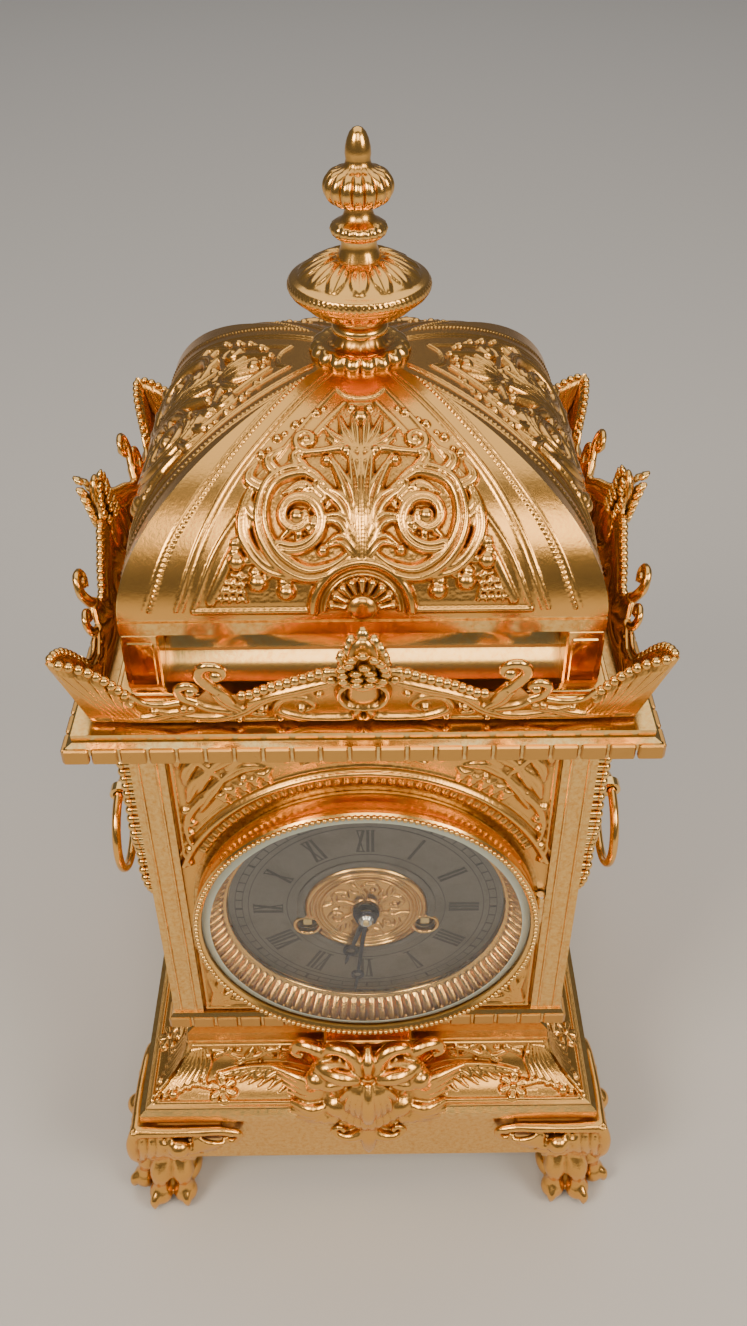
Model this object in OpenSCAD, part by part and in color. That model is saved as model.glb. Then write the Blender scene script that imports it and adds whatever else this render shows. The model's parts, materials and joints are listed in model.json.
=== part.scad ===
// Gilt brass mantel clock: a square domed case on four paw feet, with a hinged
// glazed bezel, a round eight-day movement with strike, a bell and a pendulum.
// Millimetres. +Z is up, the dial faces -Y, and the origin is on the floor
// under the finial.

/* [Case] */
// Height of the dial centre above the floor
dial_z = 154; // [150:0.5:156]
// Half the width of the case body over its corner pilasters
body_half = 69.5; // [69:0.1:70]
// Width of each corner pilaster
pilaster_w = 10.5; // [9.5:0.1:10.5]
// Thickness of the four body panels
panel_t = 2.6; // [2:0.1:3]
// Half the width of the cornice over its dentils
cornice_half = 83; // [82:0.1:84]
// Half the width of the plinth's lower lip
plinth_half = 85.5; // [85:0.1:86]
// Underside of the plinth's plain band
plinth_bottom = 22; // [20:0.5:23]
// Reach of a paw foot from the centre line
foot_reach = 94; // [93:0.5:95]

/* [Dome and gallery] */
// Half the width of the dome at its foot
dome_half = 66; // [64:0.5:66]
// Rise of the dome above its foot
dome_rise = 47; // [45:0.5:48]
// Curve of the dome's section: 2 is an ellipse, 1 a straight slope
dome_power = 1.95; // [1.7:0.05:2]
// Thickness of the dome's sheet
dome_t = 1.8; // [1.5:0.1:2.5]
// How far a gallery panel leans out over its height
gallery_lean = 7; // [5:0.5:8]
// Height of the gallery at its corner peaks
gallery_h = 26.5; // [24:0.5:28]
// Thickness of a gallery panel
gallery_t = 2.4; // [2:0.1:3]

/* [Bezel and dial] */
// Outer radius of the bezel
bezel_r = 56; // [55.8:0.1:56.2]
// Radius of the chapter ring
chapter_r = 45.5; // [45:0.1:46]
// Radius of the gilt centre of the dial
centre_r = 19.5; // [19:0.1:20]
// Length of the minute hand from its arbor
minute_len = 42; // [40:0.5:43]
// Length of the hour hand from its arbor
hour_len = 28; // [26:0.5:30]
// Minutes past six that the hands show
minutes_past_six = 31; // [30:1:33]

/* [Ring handles] */
// Distance of each ring's plane from the centre
ring_x = 94.2; // [93:0.1:95]
// Mean radius of a ring handle
ring_r = 17.5; // [16:0.5:18]
// Radius of the ring's wire
ring_wire = 1.7; // [1.5:0.1:1.8]
// Height of the ring's pivot
ring_pivot_z = 139.5; // [138:0.5:142]

/* [Movement] */
// Radius of the movement's round plates
plate_r = 42; // [42:0.5:43]
// Sideways distance of each winding arbor from the centre
winding_x = 19.7; // [19.7:0.05:19.8]
// Drop of each winding arbor below the centre
winding_drop = 8.5; // [8.5:0.05:8.6]
// Clearance of a pivot or arbor in its hole
run = 0.05; // [0.03:0.01:0.08]

/* [Hidden] */
$fn = 64;

gilt = "goldenrod";
brass = "gold";
steel = "dimgray";
blued = "midnightblue";

// Levels of the case, from the floor up
lip_z = 50;
lip_top_z = 54;
fillet_z = 75;
plinth_top = 97;
body_top = 232;
dentil_z = 235;
cornice_top = 243.5;
collar_top = 267;
dome_foot = 272;
dome_top = dome_foot + dome_rise;
gap = 0.05;

// Depths through the clock, from the dial back
panel_y = -(body_half - 1.5);
dial_back = -65.5;
dial_y = -68;
front_plate_y = -55;
back_plate_y = -19;
plate_t = 2;
great_wheel_y = -44;
drum_back = -24;
rear_y = body_half - 1.5;

// Gear train: each module size, and the numbers of teeth and leaves
barrel_m = 0.5;
barrel_teeth = 74;
second_m = 0.46;
second_teeth = 50;
third_m = 0.3;
centre_teeth = 80;
third_teeth = 75;
leaves = 10;
pin_teeth = 60;
cannon_m = 0.375;
cannon_leaves = 12;
minute_teeth = 36;
hour_m = 0.36;
hour_teeth = 40;
escape_teeth = 30;
escape_r = 8;

function pitch_r(m, n) = m * n / 2;
// The point at distances a from p and b from q, on the left of the way from p to q
function meet(p, q, a, b) =
    let (v = q - p, d = norm(v), k = (a * a - b * b + d * d) / (2 * d), h = sqrt(a * a - k * k))
    p + v * k / d + [-v[1], v[0]] * h / d;
function angle_to(p, q) = atan2(q[1] - p[1], q[0] - p[0]);
// Turn of a gear at q so that it meshes with a gear at p that is turned by phase
function mesh_phase(p, q, n_p, n_q, phase) =
    let (a = angle_to(p, q)) a + 180 + 180 / n_q - (phase - a) * n_p / n_q;

centre = [0, 0];
time_barrel_at = [winding_x, -winding_drop];
strike_barrel_at = [-winding_x, -winding_drop];
second_gap = pitch_r(second_m, second_teeth + leaves);
barrel_gap = pitch_r(barrel_m, barrel_teeth + leaves);
third_gap = pitch_r(third_m, centre_teeth + leaves);
escape_gap = pitch_r(third_m, third_teeth + leaves);
fly_gap = pitch_r(third_m, pin_teeth + leaves);
minute_gap = pitch_r(cannon_m, cannon_leaves + minute_teeth);
intermediate_at = meet(centre, time_barrel_at, second_gap, barrel_gap);
escape_at = [0, 19.5];
third_at = meet(centre, escape_at, third_gap, escape_gap);
minute_wheel_at = [0, minute_gap];
pallet_at = [0, 30];
pin_wheel_at = strike_barrel_at + barrel_gap * [cos(-50), sin(-50)];
fly_at = pin_wheel_at + fly_gap * [cos(-35), sin(-35)];
hammer_at = [-27, -29];
bell_at = [0, -4];

// ---------- shared shapes ----------

// A square, mitred moulding: the section's points are [half width, height]
module square_moulding(section) {
    outline = concat(section, [for (i = [len(section) - 1 : -1 : 0]) [-section[i][0], section[i][1]]]);
    reach = 2 * max([for (p = section) p[0]]) + 2;
    intersection() {
        translate([0, reach / 2, 0]) rotate([90, 0, 0]) linear_extrude(reach) polygon(outline);
        rotate([0, 0, 90]) translate([0, reach / 2, 0]) rotate([90, 0, 0]) linear_extrude(reach) polygon(outline);
    }
}

// Points of an arc about c, as [half width, height]
function arc(c, r, from, to, n = 8) =
    [for (i = [0 : n]) c + r * [cos(from + (to - from) * i / n), sin(from + (to - from) * i / n)]];

// A 2D outline in the plane of the dial, thickened backwards from depth y by t
module slab(y, t) {
    translate([0, y + t, 0]) rotate([90, 0, 0]) linear_extrude(t) children();
}

// A round bar or ring along Y about a place [x, z] measured from the dial centre
module rod(at, y, length, r, bore = 0) {
    translate([at[0], y + length, dial_z + at[1]]) rotate([90, 0, 0]) difference() {
        cylinder(h = length, r = r);
        if (bore > 0) translate([0, 0, -1]) cylinder(h = length + 2, r = bore);
    }
}

// A turned shape about the dial axis: the section's points are [radius, depth y]
module turned_y(section) {
    translate([0, 0, dial_z]) rotate([90, 0, 0]) rotate_extrude($fn = 96)
        polygon([for (p = section) [p[0], -p[1]]]);
}

// An involute gear outline with a 28 degree pressure angle and backlash
module gear_2d(m, n, turn, thin = 0.12) {
    angle = 28;
    r = pitch_r(m, n);
    base = r * cos(angle);
    tip = r + 0.8 * m;
    root = r - 1.05 * m;
    function roll(q) = sqrt(max(0, q * q / (base * base) - 1));
    function inv(q) = roll(q) * 180 / PI - atan(roll(q));
    half = (90 / n) - thin * m / r * 180 / PI + inv(r);
    radii = [root, max(base, root + 0.01), r, tip];
    tooth = [for (q = radii) [q, half - inv(max(q, base))]];
    points = [for (i = [0 : n - 1]) each concat(
        [for (t = tooth) t[0] * [cos(turn + 360 * i / n - t[1]), sin(turn + 360 * i / n - t[1])]],
        [for (k = [3 : -1 : 0]) tooth[k][0]
            * [cos(turn + 360 * i / n + tooth[k][1]), sin(turn + 360 * i / n + tooth[k][1])]])];
    polygon(points);
}

// A toothed wheel with five crossings, or a solid pinion, about a place in the train
module gear(at, y, t, m, n, turn, bore = 0, crossed = true) {
    rim = pitch_r(m, n) - 2.4 * m - 0.4;
    hub = max(2.2, bore + 1);
    translate([at[0], y + t, dial_z + at[1]]) rotate([90, 0, 0]) linear_extrude(t) difference() {
        gear_2d(m, n, turn);
        if (bore > 0) circle(r = bore);
        if (crossed && rim > hub + 2) difference() {
            circle(r = rim);
            circle(r = hub);
            for (i = [0 : 4]) rotate(i * 72) translate([0, -0.6]) square([rim + 1, 1.2]);
        }
    }
}

module in_quadrant(turn) {
    intersection() {
        children();
        rotate([0, 0, turn]) translate([0, 0, -1]) linear_extrude(500)
            polygon([[0, -2 * gap], [300, -300 - 2 * gap], [-300, -300 - 2 * gap]]);
    }
}

// ---------- plinth and feet ----------

function plinth_section() = concat(
    [[plinth_half - 1.5, plinth_bottom], [plinth_half - 1.5, lip_z - 1], [plinth_half, lip_z],
     [plinth_half, lip_top_z], [plinth_half - 2, lip_top_z + 1]],
    arc([plinth_half + 1.5, fillet_z], 20, -101, -180, 7),
    [[67, 79.5], [64.5, 80.5], [64.5, 88], [69, 89.5], [71, 90.5], [71, 95.5], [70, plinth_top]]);

module base_plinth() {
    bore_half = 61;
    color(gilt) difference() {
        square_moulding(plinth_section());
        difference() {
            square_moulding([[plinth_half - 5.5, plinth_bottom - 1], [plinth_half - 5.5, lip_z - 2], [70, lip_z + 6],
                             [bore_half + 2, fillet_z - 9], [bore_half, fillet_z], [bore_half, plinth_top + 1]]);
            for (a = [0 : 90 : 270]) rotate([0, 0, a])
                translate([58, -plinth_half, plinth_bottom]) cube([plinth_half, 27.5, 5]);
        }
        for (a = [0 : 90 : 270]) rotate([0, 0, a])
            translate([70, -70, plinth_bottom - 1]) cylinder(h = 8, r = 2.2);
    }
}

// One paw foot, on the diagonal at +X -Y, with two scrolled brackets on the plinth
module paw_foot() {
    corner = plinth_half - 1.5 + gap;
    bracket = [[0, 46], [0, plinth_bottom], [-14, 24], [-24, 31], [-38, 37], [-42, 41], [-41, 45], [-36, 46]];
    color(gilt) {
        difference() {
            union() {
                hull() {
                    translate([72, -72, 6.2]) sphere(r = 7, $fn = 24);
                    translate([84, -84, 8.2]) sphere(r = 9, $fn = 24);
                    translate([foot_reach - 5.5, -80, 4.7]) sphere(r = 5.5, $fn = 24);
                    translate([80, -foot_reach + 5.5, 4.7]) sphere(r = 5.5, $fn = 24);
                }
                hull() {
                    translate([78, -78, 9]) sphere(r = 8, $fn = 24);
                    translate([81, -81, 34]) cylinder(h = 6, r = 9, $fn = 24);
                }
            }
            translate([0, -corner, plinth_bottom - gap]) cube([corner, corner, 60]);
            translate([50, -110, -20]) cube([60, 60, 20]);
        }
        for (m = [0, 1]) mirror([m, m, 0])
            translate([corner, -corner, 0]) rotate([90, 0, 0]) linear_extrude(5) polygon(bracket);
        translate([corner, -corner - 5, plinth_bottom]) cube([5, 5, 24]);
        translate([70, -70, 0]) difference() {
            translate([0, 0, 10]) cylinder(h = plinth_bottom - gap - 10, r = 9);
            translate([0, 0, 12]) cylinder(h = 20, r = 1.6);
        }
    }
}

module foot_front_right() { foot_bored() paw_foot(); }
module foot_rear_right() { rotate([0, 0, 90]) foot_bored() paw_foot(); }
module foot_rear_left() { rotate([0, 0, 180]) foot_bored() paw_foot(); }
module foot_front_left() { rotate([0, 0, 270]) foot_bored() paw_foot(); }

module foot_bored() {
    difference() {
        children();
        translate([70, -70, 12]) cylinder(h = 20, r = 1.6);
    }
}

// A bolt down through the plinth's corner lug into each foot
module foot_bolts() {
    color(steel) for (a = [0 : 90 : 270]) rotate([0, 0, a]) translate([70, -70, 0]) {
        translate([0, 0, 13]) cylinder(h = 15, r = 1.55);
        translate([0, 0, 27 + gap]) cylinder(h = 2.6, r = 4, $fn = 6);
    }
}

// The ram's mask, with the pendant below it, seated on the plinth's slope
module plinth_mask() {
    back = [for (p = plinth_section()) if (p[1] >= 26 && p[1] <= 80) [-p[0] - gap, p[1]]];
    front = [[-73, 87], [-82, 86], [-90, 76], [-94, 64], [-94, 54], [-90, 38], [-87, 25], [-85, 23]];
    outline = concat([[-plinth_half + 1.5 - gap, 23]], back, [[-67 - gap, 84]], front);
    color(gilt) intersection() {
        translate([-24, 0, 0]) rotate([90, 0, 90]) linear_extrude(48) polygon(outline);
        translate([0, -60, 0]) rotate([90, 0, 0]) linear_extrude(60)
            polygon([[-8, 22], [8, 22], [14, 40], [24, 56], [24, 76], [14, 88], [-14, 88], [-24, 76], [-24, 56], [-14, 40]]);
    }
}

// ---------- case body ----------

module panel_blank(half = body_half - pilaster_w - gap) {
    translate([-half, panel_y, plinth_top + gap]) cube([2 * half, panel_t, body_top - plinth_top - 2 * gap]);
}

module front_panel() {
    color(gilt) difference() {
        panel_blank();
        rod(centre, panel_y - 1, panel_t + 2, 52.5);
    }
}

module side_panel() {
    difference() {
        panel_blank();
        translate([0, 0, ring_pivot_z]) rotate([90, 0, 0]) cylinder(h = 200, r = 2.1);
    }
}

module left_panel() { color(gilt) rotate([0, 0, -90]) side_panel(); }
module right_panel() { color(gilt) rotate([0, 0, 90]) side_panel(); }

module rear_panel() {
    color(gilt) {
        difference() {
            rotate([0, 0, 180]) panel_blank();
            rod(centre, rear_y - panel_t - 1, panel_t + 2, 47);
            for (s = [-1, 1]) rod([s * strap_x, 0], rear_y - panel_t - 1, panel_t + 2, 1.25);
        }
        for (z = [dial_z - 6, dial_z + 2.1]) knuckle(rear_hinge_at, z, 3.9)
            translate([rear_hinge_at[0] - 0.8, rear_y - 0.5, z]) cube([2.4, rear_hinge_at[1] - rear_y, 3.9]);
    }
}

module corner_pilasters() {
    color(gilt) for (a = [0 : 90 : 270]) rotate([0, 0, a])
        translate([body_half - pilaster_w, -body_half, plinth_top + gap]) difference() {
            cube([pilaster_w, pilaster_w, body_top - plinth_top - 2 * gap]);
            translate([-1, 4, -1]) cube([pilaster_w - 3, pilaster_w, 200]);
        }
}

// ---------- cornice and gallery ----------

module cornice() {
    color(gilt) difference() {
        square_moulding(concat(
            [[body_half + 0.5, body_top]],
            arc([80, body_top], 9.5, 180, 130, 10),
            [[80, dentil_z - 0.6], [cornice_half, dentil_z], [cornice_half, 240], [81, 240.8], [81, cornice_top]]));
        translate([0, 0, (body_top + cornice_top) / 2]) cube([124, 124, 40], center = true);
    }
}

// Front gallery panel: a scrolled cresting that leans outwards from the cornice
module gallery_panel() {
    base_half = 74.5;
    top_half = base_half + gallery_lean;
    half_outline = [[0, 33], [7, 31], [9, 24], [24, 19.5], [34, 16], [37, 22], [42, 23], [45, 17.5],
                    [52, 14], [58, 13], [66, 17], [top_half, gallery_h]];
    outline = concat([[-base_half, 0], [base_half, 0]],
        [for (i = [len(half_outline) - 1 : -1 : 0]) half_outline[i]],
        [for (i = [1 : len(half_outline) - 1]) [-half_outline[i][0], half_outline[i][1]]]);
    lean = atan(gallery_lean / gallery_h);
    in_quadrant(0) translate([0, -base_half, cornice_top + gap]) rotate([lean, 0, 0])
        translate([0, gallery_t, 0]) rotate([90, 0, 0]) linear_extrude(gallery_t) polygon(outline);
}

module gallery_seated() {
    intersection() {
        gallery_panel();
        translate([-150, -150, cornice_top + gap]) cube([300, 300, 60]);
    }
}

module gallery_front() { color(gilt) gallery_seated(); }
module gallery_right() { color(gilt) rotate([0, 0, 90]) gallery_seated(); }
module gallery_rear() { color(gilt) rotate([0, 0, 180]) gallery_seated(); }
module gallery_left() { color(gilt) rotate([0, 0, 270]) gallery_seated(); }

// ---------- dome and finial ----------

module dome_collar() {
    pier = 11;
    color(gilt) difference() {
        union() {
            square_moulding(concat(
                [[70.5, cornice_top + gap], [70.5, 246.5], [69, 247.5]],
                arc([71, 264], 16.5, -97, -165, 14),
                [[56, collar_top - 3], [56, collar_top - gap]]));
            for (a = [0 : 90 : 270]) rotate([0, 0, a])
                translate([66.5 - pier, -66.5, 246.5]) cube([pier, pier, collar_top - gap - 246.5]);
        }
        square_moulding([[62, cornice_top - 1], [62, 248], [52.5, 262], [52.5, collar_top + 1]]);
    }
}

// Half width of a vault of the given half width and rise, at height h above its foot
function vault(half, rise, h) = half * pow(max(0, 1 - pow(h / rise, dome_power)), 1 / dome_power);
function vault_section(half, rise, foot, n = 14) =
    [for (i = [0 : n]) let (h = rise * sin(90 * i / n)) [max(0.01, vault(half, rise, h)), foot + h]];

module dome_shell() {
    color(gilt) difference() {
        union() {
            translate([-66.5, -66.5, collar_top]) cube([133, 133, 4]);
            square_moulding(concat([[dome_half, collar_top + 3]], vault_section(dome_half, dome_rise, dome_foot)));
        }
        square_moulding(concat([[dome_half - 2 * dome_t, collar_top - 1]],
            vault_section(dome_half - 2 * dome_t, dome_rise - dome_t, dome_foot)));
        cylinder(h = 400, r = 2.6);
    }
}

// A turned part of the finial: the section's points are [radius, height]
module turned(section) {
    difference() {
        rotate_extrude($fn = 72) polygon(concat([[0, section[0][1]]], section, [[0, section[len(section) - 1][1]]]));
        cylinder(h = rod_top + 1, r = 2.05);
    }
}

finial_base_z = dome_top - 3.7;
urn_z = 329;
knop_z = 351.5;
rod_top = 367;

// A ribbed collar that sits over the crown of the dome
module finial_base() {
    color(gilt) difference() {
        turned(concat([[13.5, finial_base_z + 0.5]], arc([11.5, finial_base_z + 4], 3.2, -50, 90, 8),
            [[8.5, 321.5], [6.8, 323.5], [7.6, 325], [7.6, urn_z - gap]]));
        square_moulding(concat([[dome_half, collar_top + 3]], vault_section(dome_half, dome_rise + 0.05, dome_foot)));
    }
}

module finial_urn() {
    color(gilt) turned(concat([[6.5, urn_z], [12, 331], [17.2, 333.5], [17.2, 335.2], [19.2, 336.6]],
        arc([18.3, 338.8], 2, -60, 70, 6),
        [[17.4, 342.5], [13.5, 344.6], [8.5, 346.6], [5.4, 349.4], [5.2, knop_z - gap]]));
}

module finial_knop() {
    color(gilt) turned(concat([[5.4, knop_z], [7.8, 353.4], [7.8, 355.4], [4.4, 356.8], [3.8, 359.5], [5.2, 361.8]],
            arc([5.4, 366.2], 3.9, -70, 80, 8),
            [[3.4, 370.4], [3.3, 374], [2.2, 378.2], [0.4, 380]]));
}

// The tie rod that draws the finial down on the dome, with its nut inside
module finial_rod() {
    color(brass) {
        translate([0, 0, 303]) cylinder(h = rod_top - 303, r = 2);
        translate([0, 0, 305]) cylinder(h = 4, r = 6, $fn = 6);
        translate([0, 0, 309]) cylinder(h = 4.2, r = 9);
    }
}

// ---------- ring handles ----------

module handle_boss() {
    rotate([0, 0, 90]) difference() {
        union() {
            translate([0, panel_y - gap, ring_pivot_z]) rotate([90, 0, 0]) cylinder(h = 4, r1 = 16, r2 = 14);
            translate([0, panel_y - 4 - gap, ring_pivot_z]) rotate([90, 0, 0]) cylinder(h = 14, r1 = 12, r2 = 4);
            translate([-2, panel_y - 6, ring_pivot_z - 3.4]) mirror([0, 1, 0]) cube([4, ring_x + panel_y - 6, 6.8]);
            translate([-2, -ring_x, ring_pivot_z]) rotate([0, 90, 0]) cylinder(h = 4, r = 3.4);
            translate([0, panel_y + 8, ring_pivot_z]) rotate([90, 0, 0]) cylinder(h = 9, r = 2);
        }
        translate([-10, -ring_x, ring_pivot_z]) rotate([0, 90, 0]) cylinder(h = 20, r = ring_wire + 0.45);
    }
    rotate([0, 0, 90]) translate([0, panel_y + panel_t + gap + 2.4, ring_pivot_z]) rotate([90, 0, 0]) difference() {
        cylinder(h = 2.4, r = 5, $fn = 6);
        translate([0, 0, -1]) cylinder(h = 5, r = 1.9);
    }
}

module handle_boss_right() { color(gilt) handle_boss(); }
module handle_boss_left() { color(gilt) rotate([0, 0, 180]) handle_boss(); }

module ring_handle(side) {
    color(gilt) translate([side * ring_x, 0, ring_pivot_z - ring_r]) rotate([0, 90, 0])
        rotate_extrude($fn = 96) translate([ring_r, 0]) circle(r = ring_wire, $fn = 32);
}

module ring_handle_right() { ring_handle(1); }
module ring_handle_left() { ring_handle(-1); }

// ---------- bezel and dial ----------

hinge_at = [57.1, -70.3];
glass_r = 54;
rear_hinge_at = [51.2, 71.2];
knuckle_r = 1.6;
pin_r = 0.7;
strap_x = 50.2;

module knuckle(at, z, h) {
    difference() {
        union() {
            translate([at[0], at[1], z]) cylinder(h = h, r = knuckle_r);
            children();
        }
        translate([at[0], at[1], z - 1]) cylinder(h = h + 2, r = pin_r + run);
    }
}

// The fixed ring in the front panel's aperture, which carries the movement and the hinge
module casing_ring() {
    color(gilt) {
        difference() {
            turned_y([[48.2, -64], [52.2, -64], [52.2, panel_y - 0.2], [54, panel_y - 0.2],
                      [54, -69.6], [48.2, -69.6]]);
            for (s = [-1, 1]) rod([s * strap_x, 0], -66, 4, 1.25);
        }
        for (z = [dial_z - 6, dial_z + 2.1]) knuckle(hinge_at, z, 3.9)
            translate([52.8, -69.6, z]) cube([hinge_at[0] - 52.8, 1.2, 3.9]);
    }
}

module bezel_ring() {
    color(gilt) difference() {
        union() {
            turned_y([[glass_r + gap, -70.6], [bezel_r - 0.6, -70.6], [bezel_r - 0.3, -71.6], [bezel_r - 0.8, -74],
                [bezel_r - 0.7, -76.6], [bezel_r, -78.2], [bezel_r, -79.4], [bezel_r - 0.6, -80],
                [glass_r + 0.4, -80], [glass_r - 0.6, -79.2], [glass_r - 0.6, -78.3], [glass_r + gap, -77.2]]);
            knuckle(hinge_at, dial_z - 1.9, 3.8)
                translate([54.5, -72.2, dial_z - 1.9]) cube([hinge_at[0] - 54.5, 1.5, 3.8]);
        }
        translate([hinge_at[0], hinge_at[1], dial_z - 3]) cylinder(h = 6, r = pin_r + run);
        for (z = [dial_z - 6.3, dial_z + 1.95])
            translate([hinge_at[0], hinge_at[1], z]) cylinder(h = 4.35, r = knuckle_r + 0.3);
    }
}

// Bevelled glass, seated in the bezel from behind
module bezel_glass() {
    color("aliceblue", 0.35) turned_y([[0, -76.1], [glass_r, -76.1], [glass_r, -77.1], [glass_r - 3.4, -78.5], [0, -78.5]]);
}

// The cone of egg and dart behind the glass
module sight_ring() {
    color(gilt) turned_y([[50.6, -76], [glass_r, -76], [glass_r, -74.8], [52, -74.4], [50.4, -71.2],
        [46.6, -68.9], [45.8, -69.2], [49.4, -75.2]]);
}

module hinge_pins() {
    color(steel) for (at = [hinge_at, rear_hinge_at]) translate([at[0], at[1], dial_z - 6.6]) {
        cylinder(h = 13.2, r = pin_r);
        translate([0, 0, 12.65]) cylinder(h = 1, r = 1.3);
    }
}

module winding_holes(y, t, r) {
    for (s = [-1, 1]) rod([s * winding_x, -winding_drop], y, t, r);
}

module dial_plate() {
    color(brass) {
        difference() {
            rod(centre, -66.5, 1, 47.6);
            rod(centre, -67, 2, 3);
            winding_holes(-67, 2, 3.4);
        }
        for (a = [30, 150, 270]) rod([35 * cos(a), 35 * sin(a)], dial_back, -57 - gap - dial_back, 1.4);
    }
}

module chapter_ring() {
    color("gainsboro") difference() {
        rod(centre, dial_y, 1.45, chapter_r, centre_r + gap);
        winding_holes(dial_y - 1, 4, 3.8);
    }
}

module dial_centre() {
    color(gilt) difference() {
        rod(centre, dial_y - 0.4, 1.85, centre_r, 3);
        winding_holes(dial_y - 1, 4, 3.8);
    }
}

minute_turn = -90 - 6 * (minutes_past_six - 30);
hour_turn = -90 - 0.5 * minutes_past_six;

// A hand of moon pattern: a tapered stem, a pierced disc and a point
module hand(length, disc, width, bore, t) {
    disc_at = length * 0.72;
    difference() {
        union() {
            cylinder(h = t, r = bore + 2);
            linear_extrude(t) polygon([[0, -width], [disc_at, -width * 0.6], [disc_at + disc + 3, -width * 0.5],
                [length, 0], [disc_at + disc + 3, width * 0.5], [disc_at, width * 0.6], [0, width]]);
            translate([disc_at, 0, 0]) cylinder(h = t, r = disc);
        }
        translate([0, 0, -1]) cylinder(h = t + 2, r = bore);
        translate([disc_at, 0, -1]) cylinder(h = t + 2, r = disc * 0.6);
    }
}

module hour_hand() {
    color(blued) translate([0, -70.2, dial_z]) rotate([90, 0, 0])
        rotate([0, 0, hour_turn]) hand(hour_len, 2.6, 1, 2.4, 0.7);
}

module minute_hand() {
    color(blued) translate([0, -72.2, dial_z]) rotate([90, 0, 0])
        rotate([0, 0, minute_turn]) hand(minute_len, 2.2, 0.8, 1.62, 0.6);
}

module hand_collet() {
    color(steel) turned_y([[1.02, -73.1], [2.6, -73.1], [2.6, -73.7], [1.9, -74.5], [1.02, -74.5]]);
}

// ---------- movement frame ----------

module pivot_holes(y, places, r) {
    for (p = places) rod(p, y - 1, plate_t + 2, r + run);
}

pillar_places = [for (a = [10, 58, 122, 170, 285]) 37 * [cos(a), sin(a)]];

module front_plate() {
    color(brass) difference() {
        union() {
            rod(centre, front_plate_y - plate_t, plate_t, plate_r);
            rod(minute_wheel_at, -63.4, 6.5, 0.8);
        }
        pivot_holes(front_plate_y - plate_t, [intermediate_at, third_at, escape_at, pin_wheel_at, fly_at], 0.5);
        pivot_holes(front_plate_y - plate_t, [pallet_at, hammer_at], 0.5);
        pivot_holes(front_plate_y - plate_t, [centre], 1);
        pivot_holes(front_plate_y - plate_t, [time_barrel_at, strike_barrel_at], 2);
        for (p = pillar_places) rod(p, -60, 8, 1.25);
    }
}

module back_plate() {
    color(brass) difference() {
        rod(centre, back_plate_y, plate_t, plate_r);
        pivot_holes(back_plate_y, [intermediate_at, third_at, escape_at, pin_wheel_at, fly_at], 0.5);
        pivot_holes(back_plate_y, [centre], 1);
        pivot_holes(back_plate_y, [pallet_at, hammer_at], 1);
        pivot_holes(back_plate_y, [time_barrel_at, strike_barrel_at], 2);
        for (p = pillar_places) rod(p, -21, 8, 1.25);
    }
}

module plate_pillars() {
    color(brass) for (p = pillar_places) {
        rod(p, front_plate_y + gap, back_plate_y - front_plate_y - 2 * gap, 2.6);
        rod(p, front_plate_y - plate_t - 1.5, 43, 1.2);
    }
}

// Two long screws that draw the casing ring and the rear panel together, with the straps on them
module movement_straps() {
    color(steel) for (s = [-1, 1]) {
        rod([s * strap_x, 0], -65.9, rear_y + 65.8, 1.2);
        rod([s * strap_x, 0], rear_y - panel_t - 2.45, 2.4, 2.8);
    }
    color(brass) for (s = [-1, 1]) for (y = [front_plate_y - plate_t, back_plate_y])
        difference() {
            translate([s > 0 ? plate_r - 4 : -52.8, y - (y < -40 ? 1.6 : -plate_t) - (y < -40 ? gap : -gap), dial_z - 4])
                cube([52.8 - plate_r + 4, 1.6, 8]);
            rod([s * strap_x, 0], y - 6, 12, 1.15);
        }
}

// ---------- going train ----------

module arbor(at, from_y, to_y, r) {
    rod(at, from_y + 0.3, to_y - from_y - 0.6, r);
    rod(at, from_y - plate_t + 0.2, to_y - from_y + 2 * plate_t - 0.4, 0.5);
}

second_phase = 0;
centre_pinion_phase = mesh_phase(intermediate_at, centre, second_teeth, leaves, second_phase);
cannon_phase = 0;
minute_phase = mesh_phase(centre, minute_wheel_at, cannon_leaves, minute_teeth, cannon_phase);
hour_phase = mesh_phase(minute_wheel_at, centre, leaves, hour_teeth, 0);
third_pinion_phase = mesh_phase(centre, third_at, centre_teeth, leaves, 0);
escape_pinion_phase = mesh_phase(third_at, escape_at, third_teeth, leaves, 0);
intermediate_pinion_phase = mesh_phase(time_barrel_at, intermediate_at, barrel_teeth, leaves, 0);
pin_pinion_phase = mesh_phase(strike_barrel_at, pin_wheel_at, barrel_teeth, leaves, 0);
fly_pinion_phase = mesh_phase(pin_wheel_at, fly_at, pin_teeth, leaves, 0);

module centre_arbor() {
    color(steel) {
        rod(centre, -74.9, 74.9 + back_plate_y + plate_t - 0.2, 1);
        gear(centre, -49.2, 2.4, second_m, leaves, centre_pinion_phase, crossed = false);
    }
    color(brass) gear(centre, -50.8, 1, third_m, centre_teeth, 0);
}

module cannon_pinion() {
    color(steel) {
        gear(centre, -60.4, 1.8, cannon_m, cannon_leaves, cannon_phase, bore = 1.02, crossed = false);
        rod(centre, -73, 12.8, 1.6, 1.02);
    }
}

module hour_wheel() {
    color(brass) {
        gear(centre, -62.6, 1, hour_m, hour_teeth, hour_phase, bore = 1.66);
        rod(centre, -71, 9, 2.35, 1.66);
    }
}

module minute_wheel() {
    color(brass) {
        gear(minute_wheel_at, -60.2, 1.2, cannon_m, minute_teeth, minute_phase, bore = 0.85);
        gear(minute_wheel_at, -62.8, 2.7, hour_m, leaves, 0, bore = 0.85, crossed = false);
    }
}

module intermediate_wheel() {
    color(brass) gear(intermediate_at, -48.6, 1.2, second_m, second_teeth, second_phase);
    color(steel) {
        arbor(intermediate_at, front_plate_y, back_plate_y, 0.8);
        gear(intermediate_at, -47, 4, barrel_m, leaves, intermediate_pinion_phase, crossed = false);
    }
}

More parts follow.
